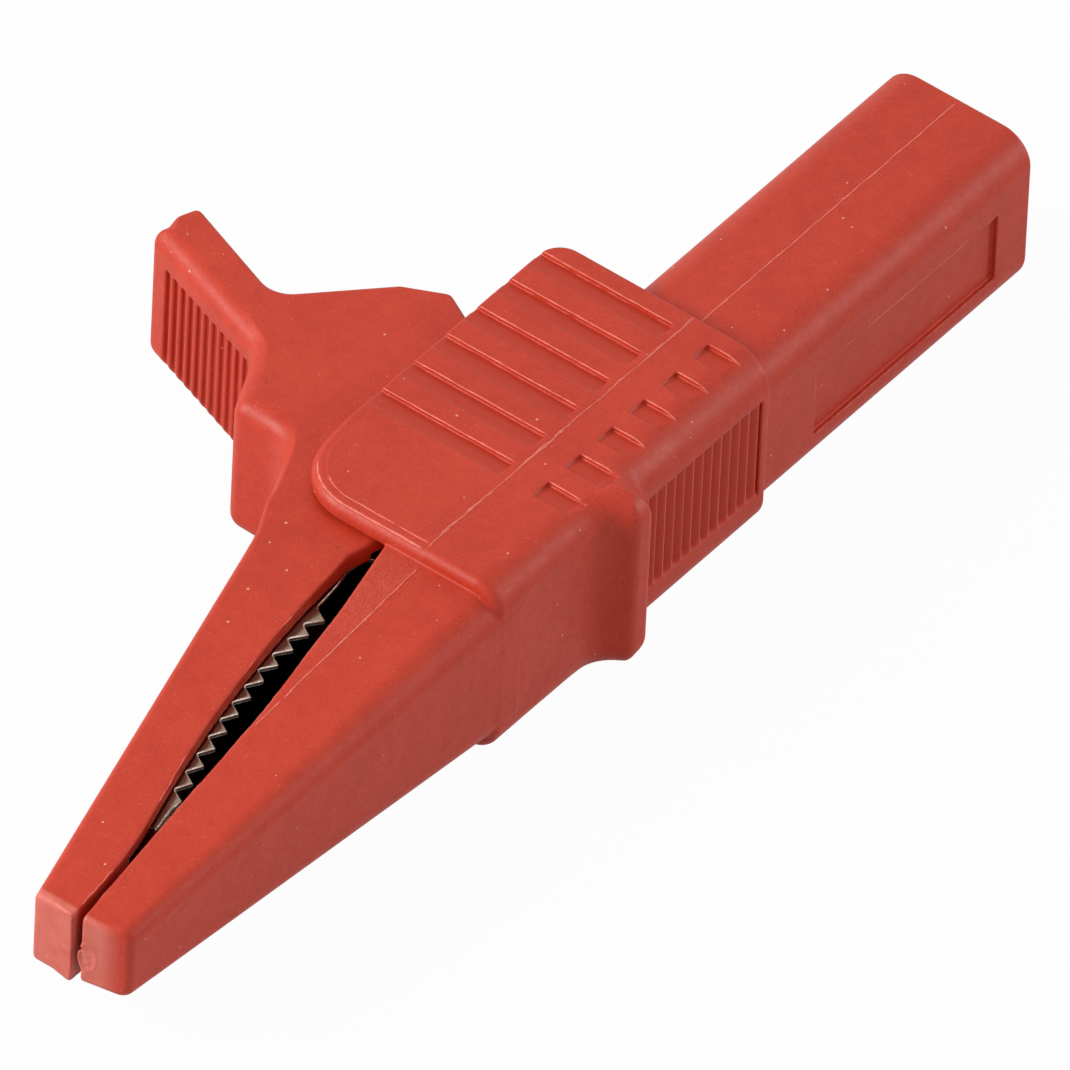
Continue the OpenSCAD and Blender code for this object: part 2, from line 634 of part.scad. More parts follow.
// Metal jaw in the fixed cover: ears for the rivet, tongue and lug back to the socket
module fixed_jaw() {
    nose = nose_at;
    step_at = bay_front + swing_gap;
    far = nose + nose_len;
    function floor_y(d) = fixed_floor(d) + fit_gap;
    tongue_at = pivot_at - tongue_back;
    above = roof_y + plate_reach;
    wall = concat([[st(nose), floor_y(nose)], [st(step_at), floor_y(step_at)],
                   [st(bay_front - front_wall), fixed_back_y], [st(tongue_at), fixed_back_y],
                   [st(tongue_at), fixed_back_y + fixed_ear_r / 2]],
                  ear(fixed_ear_r, -30, 150),
                  [[st(pivot_at + cheek_r), fixed_edge_root],
                   [st(plate_front + root_bend / 2), lookup(plate_front + root_bend / 2, fixed_inner) - swing_gap]],
                  toothed_edge(fixed_inner, fixed_tooth_out, 1),
                  [[st(nose), lookup(nose, fixed_inner) + fixed_tooth_out - lever_edge / 2]]);
    inside = [[st(far), floor_y(nose) + sheet_t], [st(step_at), floor_y(step_at) + sheet_t],
              [st(bay_front - front_wall), fixed_back_y + sheet_t], [st(bay_back - back_wall), fixed_back_y + sheet_t],
              [st(bay_back - back_wall), above], [st(far), above]];
    color(nickel) difference() {
        union() {
            stamped_jaw(wall, inside, metal_half_w);
            translate([st(tongue_at) - bite, fixed_back_y, -tongue_half_w])
                cube([tongue_at - lug_at + bite, sheet_t, 2 * tongue_half_w]);
            translate([st(lug_front), fixed_back_y, -tongue_half_w])
                cube([sheet_t, lug_side - fixed_back_y, 2 * tongue_half_w]);
        }
        translate([st(pivot_at), pivot_side, -half_h]) cylinder(r = pin_r + fit_gap, h = collar_h);
        bar(lug_at - sheet_t, lug_front + sheet_t, spigot_r + fit_gap);
    }
}

// Metal jaw in the lever: turns on the rivet between the fixed jaw's ears
module moving_jaw() {
    nose = nose_at;
    far = nose + nose_len;
    seat_at = pivot_at - seat_back;
    roof = roof_y - fit_gap;
    below = -bay_side - plate_reach;
    function floor_y(d) = moving_floor(d) - fit_gap;
    function edge_y(d) = lookup(d, moving_inner) + swing_gap;
    teeth = toothed_edge(moving_inner, moving_tooth_out, -1);
    last = len(teeth) - 1;
    wall = concat([[st(nose), floor_y(nose)],
                   [st(nose), lookup(nose, moving_inner) - moving_tooth_out + lever_edge / 2]],
                  [for (i = [last : -1 : 0]) teeth[i]],
                  [[st(plate_front + root_bend / 2), edge_y(plate_front + root_bend / 2)],
                   [st(plate_front - root_bend / 2), edge_y(plate_front - root_bend / 2)]],
                  ear(moving_ear_r, 180, 360),
                  [[st(seat_at), roof - sheet_t * 3], [st(seat_at), roof], [st(pivot_at + coil_r), roof],
                   [st(plate_front), floor_y(plate_front)]]);
    inside = [[st(far), floor_y(nose) - sheet_t], [st(far), below], [st(seat_at - sheet_t), below],
              [st(seat_at - sheet_t), roof - sheet_t], [st(pivot_at + coil_r), roof - sheet_t],
              [st(plate_front), floor_y(plate_front) - sheet_t]];
    color(nickel) difference() {
        stamped_jaw(wall, inside, moving_half_w);
        translate([st(pivot_at), pivot_side, -half_h]) cylinder(r = pin_r + run_gap, h = collar_h);
    }
}

// Rivet through both jaws, with a formed head below, closed over the washer above
module pivot_rivet() {
    foot = -metal_half_w;
    top = metal_half_w + washer_t;
    end = top + pin_head_t;
    color(steel) translate([st(pivot_at), pivot_side, 0]) rotate_extrude()
        polygon([[0, foot - pin_head_t], [pin_head_r - pin_chamfer, foot - pin_head_t],
                 [pin_head_r, foot - pin_head_t + pin_chamfer], [pin_head_r, foot], [pin_r, foot],
                 [pin_r, top], [pin_end_r, top], [pin_end_r - pin_chamfer, end], [0, end]]);
}

// Washer under the rivet's closed end
module rivet_washer() {
    color(steel) translate([st(pivot_at), pivot_side, metal_half_w]) difference() {
        cylinder(r = washer_r, h = washer_t);
        translate([0, 0, -washer_t]) cylinder(r = pin_r + fit_gap, h = 3 * washer_t);
    }
}

// Spacer between the moving jaw's ears, inside the coil
module pivot_bush() {
    hole_r = pin_r + run_gap;
    color(steel) translate([st(pivot_at), pivot_side, -between_ears]) difference() {
        cylinder(r = hole_r + bush_wall, h = 2 * between_ears);
        translate([0, 0, -bush_wall]) cylinder(r = hole_r, h = 2 * (between_ears + bush_wall));
    }
}

// Torsion spring: a coil round the bush, one leg on the fixed tongue, one under the lever's roof
module torsion_spring() {
    wire_r = wire_d / 2;
    half = between_ears - wire_r;
    down_end = [lower_leg, fixed_back_y + sheet_t + wire_r + leg_gap - pivot_side];
    up_end = [upper_leg, roof_y - fit_gap - sheet_t - wire_r - leg_gap - pivot_side];
    // A leg leaves the coil at the angle where it is tangent to it
    down_angle = atan2(down_end.y, down_end.x) - acos(coil_r / norm(down_end));
    up_angle = atan2(up_end.y, up_end.x) + acos(coil_r / norm(up_end));
    sweep = 360 * coil_turns + up_angle - down_angle;
    rings = ceil(sweep / 15);
    coil = [for (i = [0 : rings])
        let (a = down_angle + sweep * i / rings)
        [coil_r * cos(a), coil_r * sin(a), -half + 2 * half * i / rings]];
    path = concat([[down_end.x, down_end.y, -half]], coil, [[up_end.x, up_end.y, half]]);
    last = len(path) - 1;
    color(steel) translate([st(pivot_at), pivot_side, 0])
        skin([for (i = [0 : last])
            let (along = unit(path[min(last, i + 1)] - path[max(0, i - 1)]),
                 across = unit(cross(along, [0, 0, 1])), up = cross(across, along))
            [for (k = [0 : 7]) path[i] + wire_r * (across * cos(45 * k) + up * sin(45 * k))]]);
}

// Turned socket contact with a spigot riveted into the jaw's lug
module socket_contact() {
    color(nickel) difference() {
        union() {
            bar(tail_end, lug_at - fit_gap / 2, contact_r);
            bar(tail_end + contact_depth, lug_front + spigot_head, spigot_r);
            bar(lug_front + fit_gap, lug_front + spigot_head, spigot_r + spigot_head);
        }
        bar(tail_end - contact_wall, tail_end + contact_depth, contact_bore / 2);
    }
}

// Insulating sleeve on the contact, with a lip over its mouth
module socket_sleeve() {
    color(red) difference() {
        bar(tail_end - sleeve_reach, shroud_depth, sleeve_r);
        bar(tail_end - fit_gap, shroud_depth + sleeve_wall, contact_r + fit_gap);
        bar(-tail_end, tail_end, contact_bore / 2 + sleeve_wall / 2);
    }
}

body_shell();
lever_shell();
fixed_jaw();
moving_jaw();
pivot_rivet();
rivet_washer();
pivot_bush();
torsion_spring();
socket_contact();
socket_sleeve();
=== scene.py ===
import bpy
import numpy as np
from mathutils import Matrix, Vector


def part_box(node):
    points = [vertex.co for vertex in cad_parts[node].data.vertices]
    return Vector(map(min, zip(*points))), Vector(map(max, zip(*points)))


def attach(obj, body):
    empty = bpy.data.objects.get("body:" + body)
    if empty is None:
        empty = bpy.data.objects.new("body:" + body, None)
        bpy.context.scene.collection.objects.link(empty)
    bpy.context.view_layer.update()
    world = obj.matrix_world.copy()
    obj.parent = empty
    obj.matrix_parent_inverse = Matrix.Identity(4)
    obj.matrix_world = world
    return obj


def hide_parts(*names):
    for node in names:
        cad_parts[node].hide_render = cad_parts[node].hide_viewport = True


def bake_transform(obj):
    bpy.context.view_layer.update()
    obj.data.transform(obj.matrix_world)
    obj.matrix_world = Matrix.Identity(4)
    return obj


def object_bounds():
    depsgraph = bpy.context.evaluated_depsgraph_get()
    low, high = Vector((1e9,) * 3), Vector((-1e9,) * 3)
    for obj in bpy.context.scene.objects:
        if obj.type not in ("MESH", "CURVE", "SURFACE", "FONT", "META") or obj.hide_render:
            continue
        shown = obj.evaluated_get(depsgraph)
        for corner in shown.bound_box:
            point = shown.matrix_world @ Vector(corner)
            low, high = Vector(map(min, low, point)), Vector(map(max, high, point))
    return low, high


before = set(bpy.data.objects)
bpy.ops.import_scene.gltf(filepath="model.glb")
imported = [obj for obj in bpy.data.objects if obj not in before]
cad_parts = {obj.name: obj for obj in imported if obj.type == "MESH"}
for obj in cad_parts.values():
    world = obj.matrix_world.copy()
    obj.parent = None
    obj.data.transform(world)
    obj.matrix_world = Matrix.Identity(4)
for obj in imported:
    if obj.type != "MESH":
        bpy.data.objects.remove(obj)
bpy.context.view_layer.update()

MM = 0.001
# Steps of the fields' grids in millimetres, and the triangles that a moulding and a stamping keep
STEP = 0.115
FINE_STEP = 0.08
TRIANGLES = 190000
JAW_TRIANGLES = 60000

# Sizes of the clip in millimetres. A station is the distance forward from the tail's end.
TAIL_END = 2.4
PLATE_BACK, PLATE_FRONT = 27.5, 56.0
JAW_TIP = 92.4
JAW_LEN = JAW_TIP - PLATE_FRONT
HALF_H = 7.25
BAY_HALF_H = 5.95
TAIL_HALF_H = 6.35
TAIL_HALF_W, TAIL_Y = 5.82, -0.15
TAIL_EDGE = 2.4
PLATE_TOP, PLATE_FRONT_R, PLATE_BACK_R = 11.35, 4.8, 1.8
# Half heights of the two covers, at their root and at the tip
FIXED_HALF_H, FIXED_TIP_HALF_H = 6.25, 2.85
LEVER_HALF_H, LEVER_TIP_HALF_H = 5.65, 2.95
# Walls of the two covers: outer and inner face at the root, and how far they rise towards the tip
FIXED_OUTER, FIXED_FLOOR, FIXED_RISE = -6.3, -5.0, 1.37
MOVING_FLOOR, MOVING_SLOPE = 0.72, 0.255
COVER_END = JAW_TIP + 0.35
PIVOT_D, PIVOT_Y, PIVOT_HOLE_R = 48.0, 4.5, 1.55
SHROUD_R, SHROUD_DEPTH, CONTACT_R = 4.25, 22, 2.63
SHEET, STAMPING_EDGE = 0.32, 0.10
TONGUE_Y, TONGUE_HALF_H = -4.95, 2.6
TOOTH_FIRST, TOOTH_PITCH, TOOTH_COUNT, TOOTH_DEPTH = 62.12, 1.6145, 12, 0.9
WIRE_R, COIL_R, COIL_TURNS = 0.45, 2.55, 4
SLOT_PITCH, SLOT_DEPTH, SLOT_RUN = 3.32, 0.31, 1.58
SLOT_WALLS = [PLATE_BACK + 1.56 + SLOT_PITCH * i for i in range(6)]
LONG_SLOT_LOW, LONG_SLOT_TOP = 0.6, 14
SHORT_SLOT_Y, SHORT_SLOT_HALF = -3.75, 1.55
PANEL_START, PANEL_END, PANEL_LOW, PANEL_TOP = 3.2, 22.3, -3.45, 2.15
TAIL_SIDE = -5.97
PAD_START, PAD_END, PAD_LOW, PAD_TOP, PAD_SIDE = 28.3, 41.1, -4.15, 4.05, -6.2
RIB_AT, RIB_PITCH, RIB_DEPTH = 33.33, 0.96, 0.38
WING_ROOT, WING_LEAN = (46.25, 21.1), np.radians(20.5)
GROOVE_COUNT, GROOVE_PITCH = 11, 0.94


# Distance fields: negative inside, in millimetres
def box_axes(lo, hi, step):
    axes = [np.arange(a, b + step, step, dtype=np.float32) for a, b in zip(lo, hi)]
    return axes[0][:, None, None], axes[1][None, :, None], axes[2][None, None, :]


def both(a, b, r=0.0):
    """Where both are, with an edge rounded to radius r."""
    return np.minimum(np.maximum(a, b), -r) + np.hypot(np.maximum(a + r, 0), np.maximum(b + r, 0))


def either(a, b, r=0.0):
    """Where either is, with a hollow corner of radius r."""
    return np.maximum(np.minimum(a, b), r) - np.hypot(np.maximum(r - a, 0), np.maximum(r - b, 0))


def without(a, b, r=0.0):
    return both(a, -b, r)


def ease(x, lo, hi):
    t = np.clip((x - lo) / (hi - lo), 0, 1)
    return t * t * (3 - 2 * t)


def along(d, stations, values):
    return np.interp(d, stations, values).astype(np.float32)


def rounded(corners, closed=True):
    """Corners (station, offset, radius) as a fine line."""
    pts = [np.array(c[:2], float) for c in corners]
    out, n = [], len(corners)
    for i, c in enumerate(corners):
        r = c[2] if len(c) > 2 else 0
        if r <= 0 or (not closed and i in (0, n - 1)):
            out.append(pts[i])
            continue
        b = pts[i]
        u, v = pts[i - 1] - b, pts[(i + 1) % n] - b
        u, v = u / np.linalg.norm(u), v / np.linalg.norm(v)
        half = np.arccos(np.clip(u @ v, -1, 1)) / 2
        mid = (u + v) / np.linalg.norm(u + v)
        centre = b + mid * r / np.sin(half)
        p, q = b + u * r / np.tan(half) - centre, b + v * r / np.tan(half) - centre
        start = np.arctan2(p[1], p[0])
        turn = (np.arctan2(q[1], q[0]) - start + np.pi) % (2 * np.pi) - np.pi
        steps = max(2, int(abs(turn) / 0.14) + 1)
        for k in range(steps + 1):
            a = start + turn * k / steps
            out.append(centre + r * np.array([np.cos(a), np.sin(a)]))
    return np.array(out)


def plan(path, d, y):
    """Distance to a closed line in the plane of station and offset."""
    px, py = np.broadcast_arrays(d[:, :, 0], y[:, :, 0])
    best = np.full(px.shape, 1e9, np.float32)
    inside = np.zeros(px.shape, bool)
    for (ax, ay), (bx, by) in zip(path, np.roll(path, -1, 0)):
        ex, ey = bx - ax, by - ay
        if ex * ex + ey * ey < 1e-12:
            continue
        wx, wy = px - ax, py - ay
        t = np.clip((wx * ex + wy * ey) / (ex * ex + ey * ey), 0, 1)
        best = np.minimum(best, (wx - t * ex) ** 2 + (wy - t * ey) ** 2)
        if ey:
            inside ^= ((ay <= py) != (by <= py)) & (px < ax + (py - ay) * ex / ey)
    return (np.where(inside, -1, 1) * np.sqrt(best)).astype(np.float32)[:, :, None]


def polyline_gap(points, d, y):
    """Distance to an open line in the plane of station and offset."""
    px, py = np.broadcast_arrays(d[:, :, 0], y[:, :, 0])
    best = np.full(px.shape, 1e9, np.float32)
    for (ax, ay), (bx, by) in zip(points[:-1], points[1:]):
        ex, ey = bx - ax, by - ay
        t = np.clip(((px - ax) * ex + (py - ay) * ey) / (ex * ex + ey * ey), 0, 1)
        best = np.minimum(best, (px - ax - t * ex) ** 2 + (py - ay - t * ey) ** 2)
    return np.sqrt(best).astype(np.float32)[:, :, None]


def box_2d(u, v, lo_u, hi_u, lo_v, hi_v, r=0.0):
    return both(np.maximum(lo_u - u, u - hi_u), np.maximum(lo_v - v, v - hi_v), r)


def line_y(path, d):
    """Offset of an open line at the stations d."""
    order = np.argsort(path[:, 0])
    return along(d, path[order, 0], path[order, 1])


# Inner edges of the two covers
FIXED_INNER = rounded([
    (52, 3.62), (62, 1.72, 30), (72, 0.27, 36), (84, -0.68, 36), (JAW_TIP + 0.4, -1.49)], False)
MOVING_INNER = rounded([
    (52, 4.52), (58, 4.38, 20), (62, 4.17, 30), (66, 3.84, 30), (70, 3.30, 30), (74, 2.63, 30), (78, 1.77, 30),
    (82, 0.72, 30), (84.4, 0.06, 10), (87, -0.45, 12), (90, -0.73, 20), (COVER_END, -0.92)], False)


def cover_half(d, back, tip):
    return back + (tip - back) * np.clip(d - PLATE_FRONT, 0, None) / JAW_LEN


def fixed_cover_half(d):
    return cover_half(d, FIXED_HALF_H, FIXED_TIP_HALF_H)


def lever_cover_half(d):
    return cover_half(d, LEVER_HALF_H, LEVER_TIP_HALF_H)


def fixed_floor(d):
    """Inner face of the fixed cover's wall."""
    return FIXED_FLOOR + FIXED_RISE * (d - PLATE_FRONT) / JAW_LEN


def moving_floor(d):
    """Inner face of the moving cover's wall."""
    return MOVING_FLOOR + MOVING_SLOPE * (JAW_TIP - d)


def fixed_half(d):
    """Half height of the fixed stamping."""
    return along(d, [54.6, 57.6, 62.5, 83.3], [3.9, 4.2, 4.2, 2.65])


def moving_half(d):
    """Half height of the moving stamping."""
    return along(d, [54.6, 57.6, 62.5, 83.3], [3.2, 3.9, 3.97, 2.42])


def fixed_front(d, y):
    """Slanted end face of the fixed cover."""
    return (d - (JAW_TIP + 0.2 * (y + 2.0))) * 0.98


def front_gap(d, y):
    """Distance to the outline of the side plates."""
    return plan(rounded([(PLATE_BACK, -30), (PLATE_FRONT, -30), (PLATE_FRONT, PLATE_TOP, PLATE_FRONT_R),
                         (PLATE_BACK, PLATE_TOP, PLATE_BACK_R)]), d, y)


def body_field(x, y, z):
    d = TAIL_END - x
    az = np.abs(z)

    # Square tail
    section = both(np.abs(y - TAIL_Y) - TAIL_HALF_W, az - TAIL_HALF_H, TAIL_EDGE)
    tail = both(section, -(d + 0.3), 0.3)
    tail = np.maximum(tail, d - 30)

    # Housing with the side plates and the finger guard
    side = plan(rounded([(15, PAD_SIDE), (41.18, PAD_SIDE, 0.6), (42.3, -8.12, 0.75), (43.95, -8.12, 0.9),
                         (45.0, FIXED_OUTER, 2.6), (75, FIXED_OUTER), (75, 45), (15, 45)]), d, y)
    upper = along(d, [37, 41.6, 43.9, 47.6, 56], [2.8, 2.3, 1.7, 2.1, 2.2])
    side_r = np.where(z > 0, upper, np.minimum(upper, 2.15))
    ends = front_gap(d, y)
    # A shallow ledge runs round the front corner, inside the rounded lip
    ledge = 0.07 * ease(ends, -0.98, -0.90) * ease(y, 0.0, 0.05) * ease(d, 49.5, 53.5)
    housing = both(side, az - HALF_H + ledge, side_r)
    housing = both(housing, ends, 0.3 + 0.45 * ease(d, 48.5, 52.5))

    # Cover of the fixed jaw
    outer_y = FIXED_OUTER + FIXED_RISE * (d - PLATE_FRONT) / JAW_LEN
    jaw_top = (az - fixed_cover_half(d)) * 0.9957
    jaw = both((outer_y - y) * 0.9993, jaw_top, along(d, [56, JAW_TIP], [2.2, 0.95]))
    jaw = both(jaw, fixed_front(d, y), 0.5)
    jaw = both(jaw, (y - line_y(FIXED_INNER, d)) * 0.99, 0.22)
    jaw = np.maximum(jaw, 53.6 - d)

    shell = either(either(housing, tail, 0.15), jaw, 0.12)

    # Sawtooth slots: a wall behind, a ramp that runs out ahead
    for wall in SLOT_WALLS:
        s = d - wall
        for reach, least in ((np.maximum(LONG_SLOT_LOW - y, y - LONG_SLOT_TOP), 0.05),
                             (np.abs(y - SHORT_SLOT_Y) - SHORT_SLOT_HALF, 0.14)):
            deep = SLOT_DEPTH - (SLOT_DEPTH - least) * s / SLOT_RUN
            cut = both(np.maximum(-s, s - SLOT_RUN), np.maximum(reach, HALF_H - az - deep), 0.0)
            shell = without(shell, cut, 0.04)

    # Ribbed finger pad: a shallow pocket with a sawtooth of ribs
    t = (d - RIB_AT) / RIB_PITCH % 1.0
    ribs = RIB_DEPTH * np.clip(np.minimum((t - 0.12) / 0.72, (1 - t) / 0.14), 0, 1) * ease(z, -4.3, -3.6)
    pocket = both(y - PAD_SIDE - 0.07 - ribs, box_2d(d, z, PAD_START, PAD_END, PAD_LOW, PAD_TOP, 0.1), 0.0)
    shell = without(shell, pocket * 0.8, 0.02)

    # Bare label panel
    panel = both(box_2d(d, z, PANEL_START, PANEL_END, PANEL_LOW, PANEL_TOP, 0.2), y - TAIL_SIDE - 0.35, 0.02)
    shell = without(shell, panel, 0.03)

    # Room between the plates
    front_y, tip_y = (float(line_y(FIXED_INNER, at)) for at in (55.0, 56.0))
    room = plan(np.array([(29.3, FIXED_FLOOR), (55.0, FIXED_FLOOR), (55.0, front_y),
                          (57.0, 2 * tip_y - front_y), (57.0, 20), (29.3, 20)]), d, y)
    shell = without(shell, both(room, az - BAY_HALF_H, 0.15), 0.15)

    # Room for the metal jaw in the cover
    space = np.maximum(np.maximum(az - fixed_half(d) - 0.12, fixed_floor(d) - y),
                       np.maximum(54.9 - d, d - 85.8))
    shell = without(shell, space, 0.05)

    # Socket
    hole = np.hypot(y, z)
    shell = without(shell, np.maximum(hole - SHROUD_R, d - SHROUD_DEPTH), 0.3)
    shell = without(shell, np.maximum(hole - CONTACT_R, d - 30), 0.05)

    # Rough gate mark on the tip: a raised ring, a broken centre and a nick beside it
    front = fixed_front(d, y)
    gate = (np.sqrt((y + 1.95) ** 2 / 0.36 + (z + 0.45) ** 2 / 1.32) - 1) * 0.6
    ring = both(np.abs(gate) - 0.10, np.maximum(front - 0.025, -front - 0.3), 0.04)
    rough = 0.03 * np.sin(y * 9.0 + z * 3.0) * np.sin(z * 7.0 - y * 4.0)
    shell = either(shell, np.where(d > 90, ring, 9), 0.03)
    shell = without(shell, np.maximum(gate + 0.13, -front - 0.04 - rough), 0.03)
    nick = np.sqrt((d - JAW_TIP) ** 2 + (y + 1.32) ** 2 + (z - 0.15) ** 2) - 0.26
    return without(shell, nick, 0.03)


def lever_field(x, y, z):
    d = TAIL_END - x
    az = np.abs(z)
    outline = rounded([
        (COVER_END, -0.91, 0.1), (COVER_END, 2.15, 0.35), (59.5, 10.48, 8), (51.6, 14.1, 3.0),
        (51.45, 18.75, 1.1), (*WING_ROOT, 2.0), (41.95, 32.95, 0.8), (38.6, 31.62, 0.45), (41.9, 22.95, 2.2),
        (36.0, 17.3, 0.8), (34.5, 14.3, 0.6), (38.5, 6.8, 2), (43.4, -0.1, 4.4), (52.6, -0.1, 4.0),
        (54.2, 3.5, 0.5)])
    inner = MOVING_INNER[(MOVING_INNER[:, 0] > 54.6) & (MOVING_INNER[:, 0] < COVER_END - 0.15)]
    flat = plan(np.concatenate([outline, inner]), d, y)
    # Edges are sharper towards the finger's side than on the back
    finger = polyline_gap([(56, 12.5), (51.5, 15.2), (51.45, 18.75), WING_ROOT, (41.9, 32.7)], d, y)
    back = polyline_gap([(57, 10.5), (49.5, 12.0), (46, 17.5), (41.9, 22.95), (38.6, 31.62)], d, y)
    outer = ease(y - line_y(MOVING_INNER, d), 0.8, 1.6)
    edge = 0.3 + 1.1 * ease(back - finger, -0.6, 1.6)
    edge = edge + 0.25 * ease(d, 57, 62) * outer
    edge = edge - 0.20 * (1 - ease(y - line_y(MOVING_INNER, d), 0.3, 0.9)) * ease(d, 56, 60)
    shell = both(flat, (az - lever_cover_half(d)) * 0.997, edge)

    # Ribbed thumb pad
    lean = np.array([-np.sin(WING_LEAN), np.cos(WING_LEAN)])
    root_d, root_y = WING_ROOT
    up = (d - root_d) * lean[0] + (y - root_y) * lean[1]
    out = (d - root_d) * lean[1] - (y - root_y) * lean[0]
    for i in range(GROOVE_COUNT):
        groove = both(np.abs(up - 0.95 - GROOVE_PITCH * i) - 0.25, both(-out - 0.26, z - 3.3, 0.1), 0.12)
        shell = without(shell, groove, 0.15)

    # Hollow for the metal jaw and the spring
    hollow = plan(rounded([(56, 0, 0.5), (56, float(moving_floor(56.0)), 0.3), (50.6, 10.4, 1.5), (39, 10.4, 1),
                           (34.4, 3, 0.5), (48, -1.2, 0.5)]), d, y)
    shell = without(shell, np.maximum(hollow, az - 4.65), 0.1)
    taper = along(d, [60, 62.5, 86.1], [4.12, 4.07, 2.44])
    space = np.maximum(np.maximum(az - taper, y - moving_floor(d)), np.maximum(54.9 - d, d - 86.1))
    return without(shell, space, 0.05)


# Metal jaws: channels of thin sheet with teeth along their open edges
def teeth(tip_line, depth, toward):
    """Rounded teeth from the last to the first. A tip lies on the line, a root lies depth away from it."""
    out = []
    for i in reversed(range(TOOTH_COUNT)):
        tip, root = TOOTH_FIRST + TOOTH_PITCH * i, TOOTH_FIRST + TOOTH_PITCH * (i + 0.68)
        share = 0.15 if i == TOOTH_COUNT - 1 else 1
        out.append((root, float(tip_line(root)) + toward * depth * share, 0.16))
        out.append((tip, float(tip_line(tip)), 0.08))
    return out


def moving_tips(d):
    """Line of the moving jaw's tooth tips."""
    d = np.asarray(d, float)
    y = np.interp(d, [62.1, 65.6, 68.9, 72.2, 75.5, 79.9], [2.81, 2.82, 2.62, 2.08, 1.38, 0.36])
    return y - np.clip(d - 79.9, 0, None) * 0.09


def fixed_tips(d):
    """Line of the fixed jaw's tooth tips."""
    return line_y(FIXED_INNER, np.asarray(d, float)) + np.interp(d, [62, 75, 79, 83], [0.45, 0.35, 0.1, -0.1])


def ear(r, start, end):
    """Arc of an ear about the pivot."""
    return [(PIVOT_D - r * np.cos(a), PIVOT_Y + r * np.sin(a)) for a in np.radians(np.linspace(start, end, 22))]


def pivot_hole(d, y):
    return np.hypot(d - PIVOT_D, y - PIVOT_Y) - PIVOT_HOLE_R


def moving_stamping(x, y, z):
    d = TAIL_END - x
    wall = rounded([(82.85, 3.1, 0.3), (82.85, 0.08, 0.15)] + teeth(moving_tips, TOOTH_DEPTH, 1)
                   + [(61.58, 3.74, 0.1), (61.33, 3.95, 0.1), (59.0, 4.24, 0.3), (57.6, 4.55, 0.3),
                      (55.5, 4.6, 0.2), (54.5, 3.75, 0.3)]
                   + ear(3.1, 195, 360) + [(40.5, 8.65, 0.3), (40.5, 10.35), (50.9, 10.35, 1), (56, 9.95, 2)])
    inside = np.array([(82.5, -3), (82.5, 2.9), (56, 9.62), (50.9, 10.03), (39, 10.03), (39, -3)])
    width = np.abs(z) - moving_half(d)
    shell = both(plan(wall, d, y), width, STAMPING_EDGE)
    shell = without(shell, both(plan(inside, d, y), width + SHEET, 0.2), 0.03)
    return without(shell, pivot_hole(d, y), 0.03)


def fixed_stamping(x, y, z):
    d = TAIL_END - x
    floor = fixed_floor(np.array([55.3, 83.3])) + 0.05
    inner = float(line_y(FIXED_INNER, 57.15))
    wall = rounded([(83.3, floor[1]), (55.3, floor[0], 1), (54, TONGUE_Y, 1), (42, TONGUE_Y), (42, -3.25, 0.3)]
                   + ear(3.4, -30, 150)
                   + [(52.6, 3.62, 0.5), (57.15, inner - 0.3, 0.5)]
                   + teeth(fixed_tips, TOOTH_DEPTH, -1)[::-1] + [(83.3, float(fixed_tips(83.3)) - 0.15, 0.2)])
    inside = np.array([(83.0, 20), (83.0, floor[1] + SHEET), (55.3, floor[0] + SHEET), (54, TONGUE_Y + SHEET),
                       (30, TONGUE_Y + SHEET), (30, 20)])
    width = np.abs(z) - fixed_half(d)
    shell = both(plan(wall, d, y), width, STAMPING_EDGE)
    shell = without(shell, both(plan(inside, d, y), width + SHEET, 0.2), 0.03)
    shell = without(shell, pivot_hole(d, y), 0.03)
    # Tongue to the socket, with a lug that the contact is riveted into
    narrow = np.abs(z) - TONGUE_HALF_H
    tongue = both(box_2d(d, y, 29.35, 42.3, TONGUE_Y, -4.35, 0.1), narrow, 0.1)
    lug = both(box_2d(d, y, 29.35, 29.95, TONGUE_Y, 3.0, 0.1), narrow, 0.1)
    lug = without(lug, np.hypot(y, z) - PIVOT_HOLE_R, 0.03)
    return either(shell, either(tongue, lug, 0.3), 0.1)


# Mesh from a distance field
def sample(field, lo, step, points):
    """The field at any points, from the grid's eight corners round each."""
    g = (points - lo) / step
    i = np.clip(np.floor(g).astype(np.int64), 0, np.array(field.shape) - 2)
    t = np.clip(g - i, 0, 1)
    total = 0
    for a in (0, 1):
        for b in (0, 1):
            for c in (0, 1):
                w = ((t[:, 0] if a else 1 - t[:, 0]) * (t[:, 1] if b else 1 - t[:, 1])
                     * (t[:, 2] if c else 1 - t[:, 2]))
                total = total + w * field[i[:, 0] + a, i[:, 1] + b, i[:, 2] + c]
    return total


def slope(field, lo, step, points, reach=0.5):
    """The field's gradient, over that reach of grid steps."""
    h = reach * step
    g = np.stack([sample(field, lo, step, points + h * e) - sample(field, lo, step, points - h * e)
                  for e in np.eye(3)], 1)
    return g / (2 * h)


